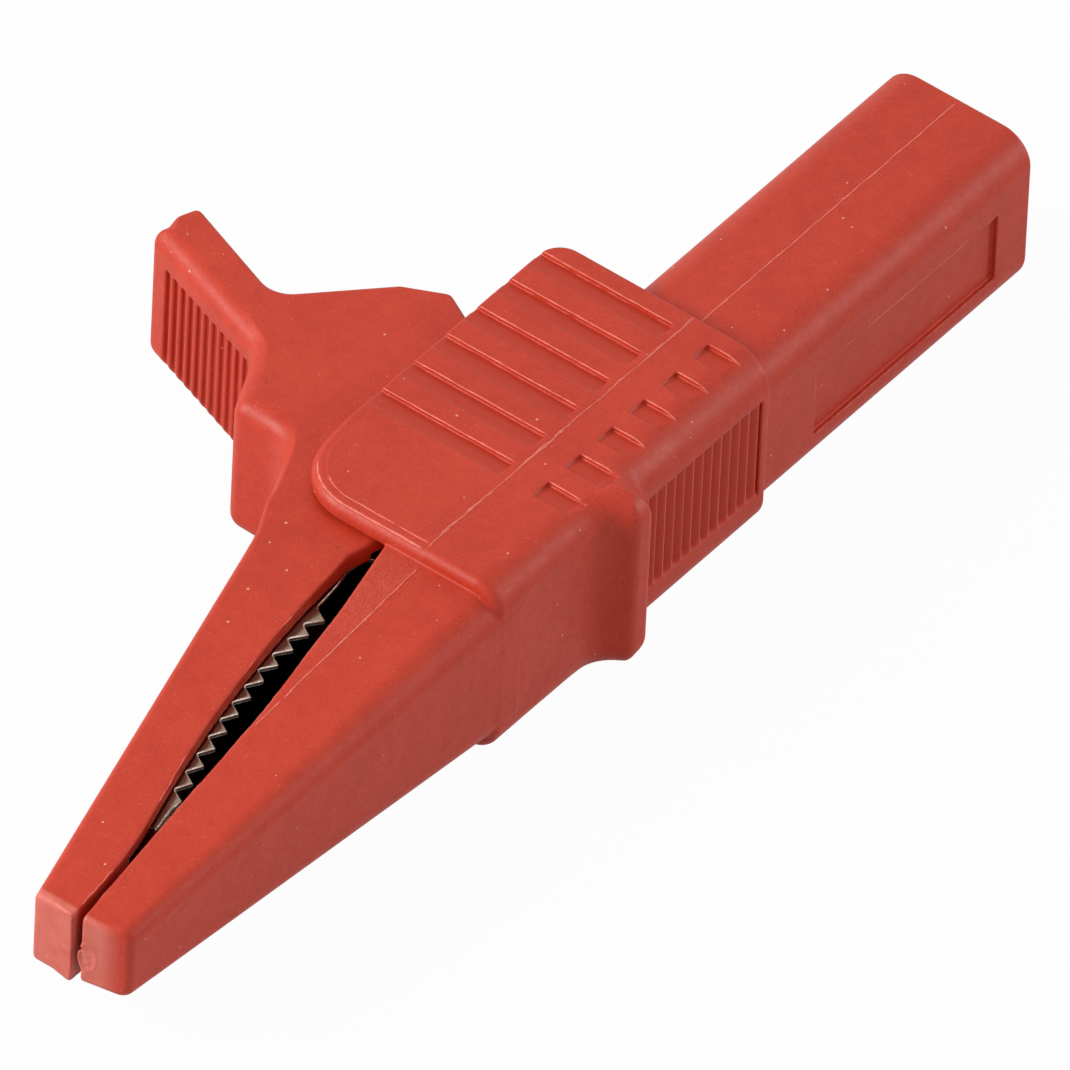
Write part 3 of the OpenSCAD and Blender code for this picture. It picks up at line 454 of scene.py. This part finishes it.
def net(field, lo, step):
    """Quads that follow the surface of the field, one point to a cell."""
    inside = field < 0
    cells = np.array(field.shape) - 1
    rings, places = [], []
    for axis in range(3):
        low, high = [slice(None)] * 3, [slice(None)] * 3
        low[axis], high[axis] = slice(0, -1), slice(1, None)
        low, high = tuple(low), tuple(high)
        crossing = inside[low] != inside[high]
        idx = np.argwhere(crossing)
        a, b = field[low][crossing], field[high][crossing]
        place = idx.astype(np.float32)
        place[:, axis] += a / (a - b)
        u, v = (axis + 1) % 3, (axis + 2) % 3
        ring = []
        for du, dv in ((0, 0), (-1, 0), (-1, -1), (0, -1)):
            c = idx.copy()
            c[:, u] += du
            c[:, v] += dv
            ring.append((c[:, 0] * cells[1] + c[:, 1]) * cells[2] + c[:, 2])
        ring = np.stack(ring, 1)
        rings.append(np.where((a < 0)[:, None], ring, ring[:, ::-1]))
        places.append(place)
    rings, places = np.concatenate(rings), np.concatenate(places)
    used = np.zeros(int(np.prod(cells)), bool)
    used[rings.ravel()] = True
    number = np.cumsum(used) - 1
    quads = number[rings]
    count = np.bincount(quads.ravel())
    spots = np.stack([np.bincount(quads.ravel(), np.repeat(places[:, k], 4)) for k in range(3)], 1)
    points = lo + spots / count[:, None] * step
    for _ in range(2):
        g = slope(field, lo, step, points)
        move = -sample(field, lo, step, points) / np.maximum((g * g).sum(1), 0.2)
        move = np.clip(move, -0.4 * step, 0.4 * step)
        points = points + g * move[:, None]
    return points, quads


def polygons(name, points, faces):
    mesh = bpy.data.meshes.new(name)
    n, k = faces.shape
    mesh.vertices.add(len(points))
    mesh.vertices.foreach_set("co", points.astype(np.float32).ravel())
    mesh.loops.add(n * k)
    mesh.loops.foreach_set("vertex_index", faces.astype(np.int32).ravel())
    mesh.polygons.add(n)
    mesh.polygons.foreach_set("loop_start", np.arange(0, n * k, k, dtype=np.int32))
    mesh.polygons.foreach_set("loop_total", np.full(n, k, np.int32))
    mesh.update()
    mesh.validate()
    return mesh


def thinned(mesh, triangles):
    """The mesh with fewer triangles where it is flat."""
    obj = bpy.data.objects.new("work", mesh)
    bpy.context.scene.collection.objects.link(obj)
    obj.modifiers.new("split", "TRIANGULATE")
    mod = obj.modifiers.new("thin", "DECIMATE")
    mod.ratio = min(1, triangles / (len(mesh.loops) - 2 * len(mesh.polygons)))
    final = bpy.data.meshes.new_from_object(obj.evaluated_get(bpy.context.evaluated_depsgraph_get()))
    bpy.data.objects.remove(obj)
    return final


def triangles_of(mesh):
    points = np.zeros(len(mesh.vertices) * 3)
    mesh.vertices.foreach_get("co", points)
    corner = np.zeros(len(mesh.loops), np.int32)
    mesh.loops.foreach_get("vertex_index", corner)
    return points.reshape(-1, 3), corner.reshape(-1, 3)


def face_normals(points, tri):
    p = points[tri]
    face = np.cross(p[:, 1] - p[:, 0], p[:, 2] - p[:, 0])
    return face / np.maximum(np.linalg.norm(face, axis=1), 1e-12)[:, None]


def shade(mesh, field, lo, step, slack=0.02):
    """Normals from the field, held close to a face's own where the face is large."""
    points, tri = triangles_of(mesh)
    normal = slope(field, lo, step, points, 0.6)
    normal /= np.maximum(np.linalg.norm(normal, axis=1), 1e-9)[:, None]
    p = points[tri]
    face = face_normals(points, tri)
    length = np.max([np.linalg.norm(p[:, i] - p[:, i - 1], axis=1) for i in range(3)], 0)
    allowed = np.clip(4 * slack / length, 0, 0.9)[:, None]
    at = normal[tri]
    angle = np.arccos(np.clip((at * face[:, None]).sum(2), -1, 1))
    share = np.minimum(1, allowed / np.maximum(angle, 1e-6))
    mixed = face[:, None] + (at - face[:, None]) * share[:, :, None]
    mixed /= np.linalg.norm(mixed, axis=2)[:, :, None]
    mesh.polygons.foreach_set("use_smooth", np.ones(len(tri), bool))
    mesh.normals_split_custom_set(mixed.reshape(-1, 3).tolist())


class Grid:
    """A sampled field that lines can be laid on."""
    def __init__(self, make, lo, hi, step):
        self.lo, self.step = np.array(lo, float), step
        self.field = make(*box_axes(self.lo, np.array(hi, float), step)).astype(np.float32)

    def settle(self, points, rounds=4):
        """The nearest points on the surface, and its normals there."""
        for _ in range(rounds):
            g = slope(self.field, self.lo, self.step, points)
            f = sample(self.field, self.lo, self.step, points)
            points = points - g * (f / np.maximum((g * g).sum(1), 0.3))[:, None]
        g = slope(self.field, self.lo, self.step, points, 0.8)
        return points, g / np.maximum(np.linalg.norm(g, axis=1), 1e-9)[:, None]


def linked(name, mesh, materials):
    mesh.transform(Matrix.Scale(MM, 4))
    obj = bpy.data.objects.new(name, mesh)
    bpy.context.scene.collection.objects.link(obj)
    for material in materials:
        mesh.materials.append(material)
    return obj


def moulding(name, grid, triangles, materials, second=None):
    points, quads = net(grid.field, grid.lo, grid.step)
    mesh = thinned(polygons(name, points, quads), triangles)
    mesh.name = name
    shade(mesh, grid.field, grid.lo, grid.step)
    if second:
        points, tri = triangles_of(mesh)
        pick = second(points[tri].mean(1), face_normals(points, tri))
        mesh.polygons.foreach_set("material_index", pick.astype(np.int32))
    return linked(name, mesh, materials)


# Materials
class Nodes:
    def __init__(self, name):
        self.material = bpy.data.materials.new(name)
        self.material.use_nodes = True
        self.tree = self.material.node_tree
        self.shader = self.tree.nodes["Principled BSDF"]
        self.coord = self.tree.nodes.new("ShaderNodeTexCoord").outputs["Object"]

    def add(self, kind, inputs=(), **settings):
        node = self.tree.nodes.new(kind)
        for key, value in settings.items():
            setattr(node, key, value)
        for key, value in dict(inputs).items():
            if isinstance(value, bpy.types.NodeSocket):
                self.tree.links.new(value, node.inputs[key])
            else:
                node.inputs[key].default_value = value
        return node

    def noise(self, size, detail=2.0, rough=0.5, stretch=None):
        """Noise with features of that size in millimetres."""
        where = self.coord
        if stretch:
            where = self.add("ShaderNodeMapping", {"Vector": where, "Scale": stretch}).outputs[0]
        return self.add("ShaderNodeTexNoise", {"Vector": where, "Scale": 1 / (size * MM), "Detail": detail,
                                               "Roughness": rough}).outputs["Fac"]

    def math(self, operation, a, b=0.0, c=0.0):
        return self.add("ShaderNodeMath", {0: a, 1: b, 2: c}, operation=operation).outputs[0]

    def spread(self, value, lo, hi, from_lo=0.3, from_hi=0.7):
        return self.add("ShaderNodeMapRange", {"Value": value, "From Min": from_lo, "From Max": from_hi,
                                               "To Min": lo, "To Max": hi}).outputs[0]

    def mix(self, fac, a, b):
        node = self.add("ShaderNodeMix", data_type="RGBA")
        for key, value in ((0, fac), (6, a), (7, b)):
            if isinstance(value, bpy.types.NodeSocket):
                self.tree.links.new(value, node.inputs[key])
            else:
                node.inputs[key].default_value = value
        return node.outputs[2]

    def axes(self):
        """The place on the piece in millimetres, as x, y and z."""
        split = self.add("ShaderNodeSeparateXYZ", {0: self.coord})
        return [self.math("MULTIPLY", out, 1 / MM) for out in split.outputs]

    def window(self, value, lo, hi, soft):
        """One between lo and hi, zero outside."""
        rise = self.spread(value, 0, 1, lo - soft, lo + soft)
        fall = self.spread(value, 1, 0, hi - soft, hi + soft)
        return self.math("MULTIPLY", rise, fall)

    def specks(self, colour, cell, radius, share, strength, tint):
        """Small spots in some cells of a lattice."""
        cells = self.add("ShaderNodeTexVoronoi", {"Vector": self.coord, "Scale": 1 / (cell * MM)}, feature="F1")
        split = self.add("ShaderNodeSeparateColor", {0: cells.outputs["Color"]})
        size = self.spread(split.outputs[0], radius * 0.5 / cell, radius / cell, 0, 1)
        there = self.math("LESS_THAN", split.outputs[1], share)
        spot = self.math("MULTIPLY", self.math("LESS_THAN", cells.outputs["Distance"], size), there)
        return self.mix(self.math("MULTIPLY", spot, strength), colour, tint + (1,))

    def link(self, value, name):
        self.tree.links.new(value, self.shader.inputs[name])

    def bump(self, height, distance, strength=1.0, normal=None):
        inputs = {"Height": height, "Distance": distance * MM, "Strength": strength}
        if normal:
            inputs["Normal"] = normal
        return self.add("ShaderNodeBump", inputs).outputs[0]


PALE_RED = (0.80, 0.27, 0.20)


def red_plastic(name, base, dust=1.0, patches=(), painted_recess_shade=False):
    """Moulded red plastic: cloudy and grainy colour, dust, fine orange peel, and optionally painted shade and
    highlights in the slots and the finger pad.
    A patch is (limits on x, y and z, strength, size of its noise, least noise, tint)."""
    m = Nodes(name)
    r, g, b = base
    dark, light = (r * 0.90, g * 0.80, b * 0.78, 1), (r * 1.10, g * 1.22, b * 1.25, 1)
    cloud = m.math("ADD", m.math("MULTIPLY", m.noise(6.0, 3.0), 0.25),
                   m.math("MULTIPLY", m.noise(1.2, 2.0), 0.25))
    tone = m.math("ADD", cloud, m.math("MULTIPLY", m.noise(0.2, 3.0, 0.65), 0.5))
    colour = m.mix(m.spread(tone, 0, 1, 0.39, 0.61), dark, light)
    colour = m.specks(colour, 0.5, 0.06, 0.5, 0.3 * dust, PALE_RED)
    colour = m.specks(colour, 1.5, 0.10, 0.8, 0.7 * dust, (0.85, 0.42, 0.34))
    colour = m.specks(colour, 2.5, 0.20, 0.5, 0.3 * dust, (0.25, 0.015, 0.01))
    x, y, z = m.axes()
    # Painted shade: the ramps of the slots and the grooves of the finger pad are painted a deeper red
    if painted_recess_shade:
        ahead = m.math("MULTIPLY_ADD", x, -1.0, TAIL_END - SLOT_WALLS[0])
        slot = m.window(m.math("FLOORED_MODULO", ahead, SLOT_PITCH), 0.03, SLOT_RUN, 0.03)
        slot = m.math("MULTIPLY", slot, m.window(ahead, 0.0, 5 * SLOT_PITCH + SLOT_RUN, 0.05))
        rows = m.math("ADD", m.window(y, LONG_SLOT_LOW, 11.2, 0.03), m.window(y, -4.7, -2.2, 0.03))
        slot = m.math("MULTIPLY", slot, rows)
        slot = m.math("MULTIPLY", slot, m.spread(m.math("ABSOLUTE", z), 0, 1, 5.6, 5.7))
        colour = m.mix(m.math("MULTIPLY", slot, 0.8), colour, (r * 0.92, g * 0.75, b * 0.45, 1))
        pad = m.window(x, TAIL_END - PAD_END, TAIL_END - PAD_START, 0.05)
        for value, limits in ((y, (-6.5, -5.6, 0.03)), (z, (PAD_LOW, PAD_TOP, 0.03))):
            pad = m.math("MULTIPLY", m.window(value, *limits), pad)
        phase = m.math("FLOORED_MODULO", m.math("MULTIPLY_ADD", x, -1.0, TAIL_END - RIB_AT), RIB_PITCH)
        tone = m.mix(m.spread(phase, 0, 1, 0.12, 0.75), (r * 1.05, g * 1.1, b, 1),
                     (r * 0.82, g * 0.35, b * 0.3, 1))
        colour = m.mix(m.math("MULTIPLY", pad, 0.85), colour, tone)
        # Painted highlight along the top of each rib
        crest_highlight = m.math("MULTIPLY", pad, m.spread(phase, 0.45, 0, 0.09, 0.17))
        colour = m.mix(crest_highlight, colour, (0.78, 0.12, 0.07, 1))
    # Paler patches; the one on the jaws' end faces is a painted sheen with some wear
    for box, strength, size, least, tint in patches:
        place = strength
        for value, limits in zip((x, y, z), box):
            if limits:
                place = m.math("MULTIPLY", m.window(value, *limits), place)
        patchy = m.math("MULTIPLY", m.spread(m.noise(size, 3.0, 0.65), 0, 1, least, 0.62), place)
        colour = m.mix(patchy, colour, tint + (1,))
    m.link(colour, "Base Color")
    m.link(m.spread(m.noise(0.5, 3.0), 0.42, 0.52), "Roughness")
    m.shader.inputs["IOR"].default_value = 1.42
    grainy = m.bump(m.noise(0.16, 2.0, 0.6), 0.004, 0.5)
    m.link(m.bump(m.noise(3.5, 2.0), 0.02, 0.35, grainy), "Normal")
    return m.material


def metal(name, base, rough, size=0.5, stretch=(1, 1, 1), dark=0.82):
    m = Nodes(name)
    noise = m.noise(size, 4.0, 0.6, stretch)
    deep = tuple(c * dark for c in base) + (1,)
    m.link(m.mix(m.spread(noise, 0, 1), deep, tuple(base) + (1,)), "Base Color")
    m.shader.inputs["Metallic"].default_value = 1.0
    m.link(m.spread(noise, rough * 0.85, rough * 1.2), "Roughness")
    m.link(m.bump(noise, 0.01, 0.4), "Normal")
    return m.material


RED = (0.53, 0.038, 0.0135)
# Paler patches: a strip on top of the fixed cover beside its inner edge, and a painted sheen with some wear on
# the jaws' end faces
PALE_STRIP = (((-62, -53.5, 2.0), (-0.12, 9, 0.04), (3.4, 20, 0.2)), 0.17, 0.14, 0.45, PALE_RED)
END_SHEEN_AND_WEAR = (((-99, -89.7, 0.15), None, None), 0.68, 1.2, -0.40, (0.74, 0.21, 0.16))
red = red_plastic("red_plastic", RED, 1.0, (PALE_STRIP, END_SHEEN_AND_WEAR), True)
lever_red = red_plastic("lever_plastic", RED, 1.0, (END_SHEEN_AND_WEAR,))
sleeve_red = red_plastic("sleeve_plastic", (0.50, 0.030, 0.015), 0.3)
# Pale colours for the raised lines: flash, and painted highlights along sharp edges
flash_and_highlight_red = red_plastic("flash_and_highlight_plastic", (0.80, 0.185, 0.135), 0.0)
soft_flash_and_highlight = red_plastic("soft_flash_and_highlight_plastic", (0.68, 0.11, 0.075), 0.0)
nickel = metal("nickel_sheet", (0.36, 0.26, 0.19), 0.18, 0.35, (1, 4, 4))
ground = metal("ground_edge", (0.90, 0.86, 0.78), 0.30, 0.2, (1, 1, 5), 0.8)
steel = metal("rivet_steel", (0.56, 0.55, 0.53), 0.3, 0.4)
spring = metal("spring_wire", (0.42, 0.41, 0.40), 0.32, 0.3)
contact = metal("contact_nickel", (0.70, 0.66, 0.58), 0.22, 0.3, (6, 1, 1))


def paint(node, material):
    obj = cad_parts[node]
    for s in obj.material_slots:
        s.link = "DATA"
        s.material = material
    if not obj.material_slots:
        obj.data.materials.append(material)


for node, material in (("pivot_rivet", steel), ("rivet_washer", steel), ("pivot_bush", steel),
                       ("socket_contact", contact), ("socket_sleeve", sleeve_red)):
    paint(node, material)


def piece(obj, body, node=None):
    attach(obj, body)
    if node:
        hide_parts(node)


def tooth_edges(tip_line):
    """Picks the cut faces along the teeth, which are bare ground metal."""
    def pick(centre, normal):
        d = TAIL_END - centre[:, 0]
        near = np.abs(centre[:, 1] - tip_line(d)) < np.where(d > 61, 1.1, 1.9)
        return near & (d > 54) & (np.abs(normal[:, 2]) < 0.9)
    return pick


# The two red mouldings and the two stampings
body_grid = Grid(body_field, (-90.9, -8.8, -7.8), (3.2, 12.0, 7.8), STEP)
lever_grid = Grid(lever_field, (-91.0, -2.2, -6.2), (-31.0, 33.6, 6.2), STEP)
piece(moulding("housing", body_grid, TRIANGLES, [red]), "body", "body_shell")
piece(moulding("thumb_lever", lever_grid, TRIANGLES, [lever_red]), "lever", "lever_shell")
grid = Grid(moving_stamping, (-81.0, -0.6, -4.4), (-37.7, 10.8, 4.4), FINE_STEP)
piece(moulding("moving_stamping", grid, JAW_TRIANGLES, [nickel, ground], tooth_edges(moving_tips)),
      "lever", "moving_jaw")
grid = Grid(fixed_stamping, (-81.3, -5.4, -4.6), (-26.5, 8.3, 4.6), 1.25 * FINE_STEP)
piece(moulding("fixed_stamping", grid, JAW_TRIANGLES, [nickel, ground], tooth_edges(fixed_tips)),
      "body", "fixed_jaw")


def closing_spring():
    """Torsion spring: a coil round the bush, one leg on the fixed tongue, one under the lever's roof."""
    sides = 16
    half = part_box("torsion_spring")[1][2] / MM - WIRE_R
    # Where the two legs end, from the pivot
    low, high = np.array([6.4, -8.37]), np.array([5.8, 4.77])
    first = np.arctan2(low[1], low[0]) - np.arccos(COIL_R / np.linalg.norm(low))
    last = np.arctan2(high[1], high[0]) + np.arccos(COIL_R / np.linalg.norm(high)) + 2 * COIL_TURNS * np.pi
    turn = np.linspace(first, last, 260)
    path = np.stack([COIL_R * np.cos(turn), COIL_R * np.sin(turn), np.linspace(-half, half, len(turn))], 1)
    path = np.concatenate([[[*low, -half]], path, [[*high, half]]])
    way = np.gradient(path, axis=0)
    way[0], way[-1] = path[1] - path[0], path[-1] - path[-2]
    way /= np.linalg.norm(way, axis=1)[:, None]
    across = np.cross(way, [0, 0, 1])
    across /= np.linalg.norm(across, axis=1)[:, None]
    up = np.cross(across, way)
    a = np.linspace(0, 2 * np.pi, sides, endpoint=False)[None, :, None]
    points = path[:, None] + WIRE_R * (across[:, None] * np.cos(a) + up[:, None] * np.sin(a))
    points = points.reshape(-1, 3) + np.array([TAIL_END - PIVOT_D, PIVOT_Y, 0])
    ring = np.arange(len(points)).reshape(len(path), sides)
    after = np.roll(ring, -1, 1)
    faces = [np.stack([ring[:-1], ring[1:], after[1:], after[:-1]], 2).reshape(-1, 4)]
    for cap in (ring[0], ring[-1][::-1]):
        faces.append(np.array([(cap[j], cap[j + 1], cap[-2 - j], cap[-1 - j]) for j in range(sides // 2 - 1)]))
    mesh = polygons("closing_spring", points, np.concatenate(faces))
    smooth = np.ones(len(mesh.polygons), bool)
    end_faces = sides - 2
    smooth[-end_faces:] = False
    mesh.polygons.foreach_set("use_smooth", smooth)
    obj = linked("closing_spring", mesh, [spring])
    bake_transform(obj)
    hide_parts("torsion_spring")


closing_spring()


# Thin pale raised lines: flash along the parting lines and the covers' inner edges, and painted highlights
# along the sharp edges of the slots, the lip and the label panel
class Lines:
    """Thin raised strips laid on a grid's surface, all in one mesh."""
    SECTION = ((-0.5, -0.02), (-0.28, 1.0), (0.28, 1.0), (0.5, -0.02))

    def __init__(self, grid, seed):
        self.grid = grid
        self.draw = np.random.default_rng(seed)
        self.points, self.faces, self.total = [], [], 0

    def wander(self, n, reach, every):
        """A smooth random line between -reach and reach, with a knot at each so many points."""
        knots = self.draw.uniform(-1, 1, max(2, int(n / every) + 3))
        return reach * np.interp(np.arange(n) / every, np.arange(len(knots)), knots)

    def lay(self, guide, width=0.10, height=0.05, jitter=0.03, every=6, broken=0.0, spacing=0.14):
        guide = np.array(guide, float)
        run = np.concatenate([[0], np.cumsum(np.linalg.norm(np.diff(guide, axis=0), axis=1))])
        n = max(4, int(run[-1] / spacing))
        at = np.linspace(0, run[-1], n)
        pts = np.stack([np.interp(at, run, guide[:, k]) for k in range(3)], 1)
        pts, normal = self.grid.settle(pts)
        side = np.cross(np.gradient(pts, axis=0), normal)
        side /= np.maximum(np.linalg.norm(side, axis=1), 1e-9)[:, None]
        pts, normal = self.grid.settle(pts + side * self.wander(n, jitter, every)[:, None], 2)
        wide = width * (1 + self.wander(n, 0.4, 3))
        tall = height * (1 + self.wander(n, 0.5, 2))
        keep = self.wander(n, 1, 9) > 2 * broken - 1 if broken else np.ones(n, bool)
        start = None
        for i in range(n + 1):
            if i < n and keep[i]:
                start = i if start is None else start
            elif start is not None:
                if i - start > 3:
                    self.strip(pts[start:i], normal[start:i], side[start:i], wide[start:i], tall[start:i])
                start = None

    def strip(self, pts, normal, side, wide, tall):
        n = len(pts)
        ends = np.clip(np.minimum(np.arange(n), np.arange(n)[::-1]) / 2.0, 0.15, 1)
        rows = [pts + side * (u * wide * ends)[:, None]
                + normal * (np.where(v > 0, v * tall * ends, v))[:, None] for u, v in self.SECTION]
        k = len(rows)
        index = self.total + np.arange(n * k).reshape(n, k)
        for j in range(k):
            a, b = index[:-1, j], index[:-1, (j + 1) % k]
            self.faces.append(np.stack([a, index[1:, j], index[1:, (j + 1) % k], b], 1))
        self.faces.append(np.array([index[0], index[-1][::-1]]))
        self.points.append(np.stack(rows, 1).reshape(-1, 3))
        self.total += n * k

    def finish(self, name, materials):
        return linked(name, polygons(name, np.concatenate(self.points), np.concatenate(self.faces)), materials)


def level(stations, y, z):
    """Places at those stations, with y and z fixed or given by the station."""
    d = np.asarray(stations, float)
    return np.stack([TAIL_END - d, y + 0 * d, z + 0 * d], 1)


body_lines, soft_lines = Lines(body_grid, 11), Lines(body_grid, 23)
for sign in (1, -1):
    weight = 1.0 if sign > 0 else 0.7
    body_lines.lay(level(np.linspace(0.2, 27.3, 60), -0.02, sign * TAIL_HALF_H),
                   0.10 * weight, 0.025, 0.03, 9, 0.03)
    # Three strands that cross make the plates' ragged line
    for wide, reach, every, skip in ((0.07, 0.05, 14, 0.05), (0.11, 0.09, 5, 0.40), (0.10, 0.11, 3, 0.60)):
        body_lines.lay(level(np.linspace(27.6, 55.3, 60), 0.0, sign * HALF_H),
                       wide * weight, 0.03, reach, every, skip)
    jaw = np.linspace(56.4, 73.2, 60)
    body_lines.lay(level(jaw, -0.12, sign * fixed_cover_half(jaw)), 0.11 * weight, 0.03, 0.04, 8, 0.12)
    # Both edges of each slot's wall, as pale strips that paint the edges' highlights
    for wall in SLOT_WALLS:
        for first, last in ((11.3, 0.62), (-2.22, -4.93)):
            y = np.linspace(first, last, 12)
            top = np.where(y > -4, HALF_H, HALF_H - 0.25 * (y + 4) ** 2)
            edge = np.stack([np.full(12, TAIL_END - wall), y, sign * top], 1)
            body_lines.lay(edge, 0.10 * weight, 0.025, 0.015, 6)
            foot = edge + np.array([-0.05, 0, -sign * (SLOT_DEPTH - 0.02)])
            soft_lines.lay(foot, 0.08 * weight, 0.03, 0.015, 6, 0.2)
    # Painted highlights along the front lip and along the ledge inside it
    corner = rounded([(50.2, PLATE_TOP), (PLATE_FRONT, PLATE_TOP, PLATE_FRONT_R), (PLATE_FRONT, 0.1)], False)
    for inset, wide, skip in ((0.33, 0.15, 0.0), (0.94, 0.09, 0.12)):
        way = np.gradient(corner, axis=0)
        way /= np.linalg.norm(way, axis=1)[:, None]
        place = corner + inset * np.stack([way[:, 1], -way[:, 0]], 1)
        keep = place[:, 0] > (54.2 if inset > 0.5 else 53.2)
        place = place[keep]
        body_lines.lay(np.stack([TAIL_END - place[:, 0], place[:, 1], np.full(len(place), sign * HALF_H)], 1),
                       wide * weight, 0.03, 0.02, 8, skip)
# Painted highlights along the label panel's front end and top edge
tall = np.linspace(PANEL_LOW + 0.2, PANEL_TOP - 0.1, 20)
body_lines.lay(np.stack([np.full(20, TAIL_END - PANEL_END), np.full(20, TAIL_SIDE), tall], 1),
               0.08, 0.03, 0.01, 6, 0.1)
for first, last, skip in ((PANEL_START + 0.3, PANEL_END - 0.2, 0.5), (9.0, 17.0, 0.05)):
    body_lines.lay(level(np.linspace(first, last, 40), TAIL_SIDE, PANEL_TOP), 0.08, 0.02, 0.01, 6, skip)
# Painted highlight along the label panel's lower edge
soft_lines.lay(level(np.linspace(PANEL_START + 0.3, PANEL_END - 0.1, 40), TAIL_SIDE, PANEL_LOW),
               0.09, 0.02, 0.01, 6, 0.2)
piece(body_lines.finish("parting_flash_and_highlights", [flash_and_highlight_red]), "body")

for sign in (1, -1):
    d = np.linspace(58.5, 91.5, 80)
    soft_lines.lay(level(d, line_y(FIXED_INNER, d) - 0.07, sign * (fixed_cover_half(d) - 0.07)),
                   0.09, 0.02, 0.03, 3, 0.45)
piece(soft_lines.finish("inner_edge_flash_and_highlights", [soft_flash_and_highlight]), "body")

lever_lines = Lines(lever_grid, 5)
lever_lines.lay([(TAIL_END - COVER_END, -0.89, z) for z in np.linspace(2.7, -2.6, 20)], 0.16, 0.03, 0.03, 4)
for sign in (1, -1):
    for first, last, wide in ((88.0, 92.6, 0.13), (63.8, 65.6, 0.10), (77.3, 81.8, 0.09), (68.0, 70.2, 0.07)):
        d = np.linspace(first, last, 30)
        lever_lines.lay(level(d, line_y(MOVING_INNER, d) + 0.08, sign * (lever_cover_half(d) - 0.08)),
                        wide, 0.03, 0.03, 4, 0.2)
piece(lever_lines.finish("lever_flash", [soft_flash_and_highlight]), "lever")


# Floor, backdrop, light
def light_path_mix(tree, camera, glossy, transmission):
    """The sum of those shares of the three kinds of ray."""
    rays = tree.nodes.new("ShaderNodeLightPath")
    total = None
    for name, share in (("Is Camera Ray", camera), ("Is Glossy Ray", glossy),
                        ("Is Transmission Ray", transmission)):
        node = tree.nodes.new("ShaderNodeMath")
        node.operation = "MULTIPLY_ADD"
        node.use_clamp = True
        tree.links.new(rays.outputs[name], node.inputs[0])
        node.inputs[1].default_value = share
        node.inputs[2].default_value = 0.0
        if total:
            tree.links.new(total, node.inputs[2])
        total = node.outputs[0]
    return total


def white_floor():
    material = bpy.data.materials.new("paper_floor")
    material.use_nodes = True
    tree = material.node_tree
    tree.nodes.remove(tree.nodes["Principled BSDF"])
    out = tree.nodes["Material Output"]
    paper = tree.nodes.new("ShaderNodeBsdfDiffuse")
    grain = tree.nodes.new("ShaderNodeTexNoise")
    grain.inputs["Scale"].default_value = 60
    tint = tree.nodes.new("ShaderNodeMix")
    tint.data_type = "RGBA"
    tint.inputs[6].default_value = (0.57, 0.57, 0.57, 1)
    tint.inputs[7].default_value = (0.59, 0.59, 0.59, 1)
    tree.links.new(grain.outputs["Fac"], tint.inputs[0])
    tree.links.new(tint.outputs[2], paper.inputs["Color"])
    glow = tree.nodes.new("ShaderNodeEmission")
    glow.inputs["Strength"].default_value = 1.0
    mix = tree.nodes.new("ShaderNodeMixShader")
    tree.links.new(light_path_mix(tree, 0.97, 0.50, 0.97), mix.inputs[0])
    tree.links.new(paper.outputs[0], mix.inputs[1])
    tree.links.new(glow.outputs[0], mix.inputs[2])
    tree.links.new(mix.outputs[0], out.inputs["Surface"])
    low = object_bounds()[0][2]
    reach = 3.0
    pts = np.array([(-reach, -reach, low), (reach, -reach, low), (reach, reach, low), (-reach, reach, low)])
    obj = bpy.data.objects.new("floor", polygons("floor", pts, np.array([[0, 1, 2, 3]])))
    obj.data.materials.append(material)
    bpy.context.scene.collection.objects.link(obj)


white_floor()

scene = bpy.context.scene
scene.view_settings.view_transform = "Standard"
world = bpy.data.worlds.new("studio")
world.use_nodes = True
scene.world = world
tree = world.node_tree
sky = tree.nodes["Background"]
sky.inputs["Color"].default_value = (1, 1, 1, 1)
# The light on the object is dimmer than the white that the camera, gloss and glass see
shown = tree.nodes.new("ShaderNodeMapRange")
shown.inputs["To Min"].default_value = 0.55
shown.inputs["To Max"].default_value = 1.0
tree.links.new(light_path_mix(tree, 1, 1, 1), shown.inputs["Value"])
tree.links.new(shown.outputs[0], sky.inputs["Strength"])

LAMPS_AIM = Vector((-0.04143, -0.0001, 0.0))


def lamp(name, direction, distance, size, power):
    light = bpy.data.lights.new(name, "AREA")
    light.shape = "DISK"
    light.size = size
    light.energy = power
    obj = bpy.data.objects.new(name, light)
    way = Vector(direction).normalized()
    obj.location = LAMPS_AIM + way * distance
    obj.rotation_euler = way.to_track_quat("Z", "Y").to_euler()
    obj.visible_camera = False
    scene.collection.objects.link(obj)


lamp("key_light", (-0.62, 0.65, 0.50), 0.43, 0.22, 1.50)
lamp("side_light", (0.75, -0.6, 0.25), 1.0, 0.5, 2.9)

# Camera of the photograph: a long lens far off, since the photograph's lines are nearly parallel
UP, BACK = Vector((0.52827, 0.44439, 0.7235)), Vector((-0.58664, -0.42499, 0.68938))
VIEW_CENTRE = Vector((-0.0415178, -0.000073, -0.0000574))
BACK.normalize()
UP = (UP - BACK * UP.dot(BACK)).normalized()
RIGHT = UP.cross(BACK)
LENS = 1600.0
SENSOR = 36.0
WIDTH = 0.0682388
cam = bpy.data.cameras.new("camera")
cam.lens = LENS
cam.sensor_width = SENSOR
cam.clip_end = 50
eye = bpy.data.objects.new("camera", cam)
turn = Matrix((RIGHT, UP, BACK)).transposed().to_4x4()
eye.matrix_world = Matrix.Translation(VIEW_CENTRE + BACK * (WIDTH * LENS / SENSOR)) @ turn
scene.collection.objects.link(eye)
scene.camera = eye
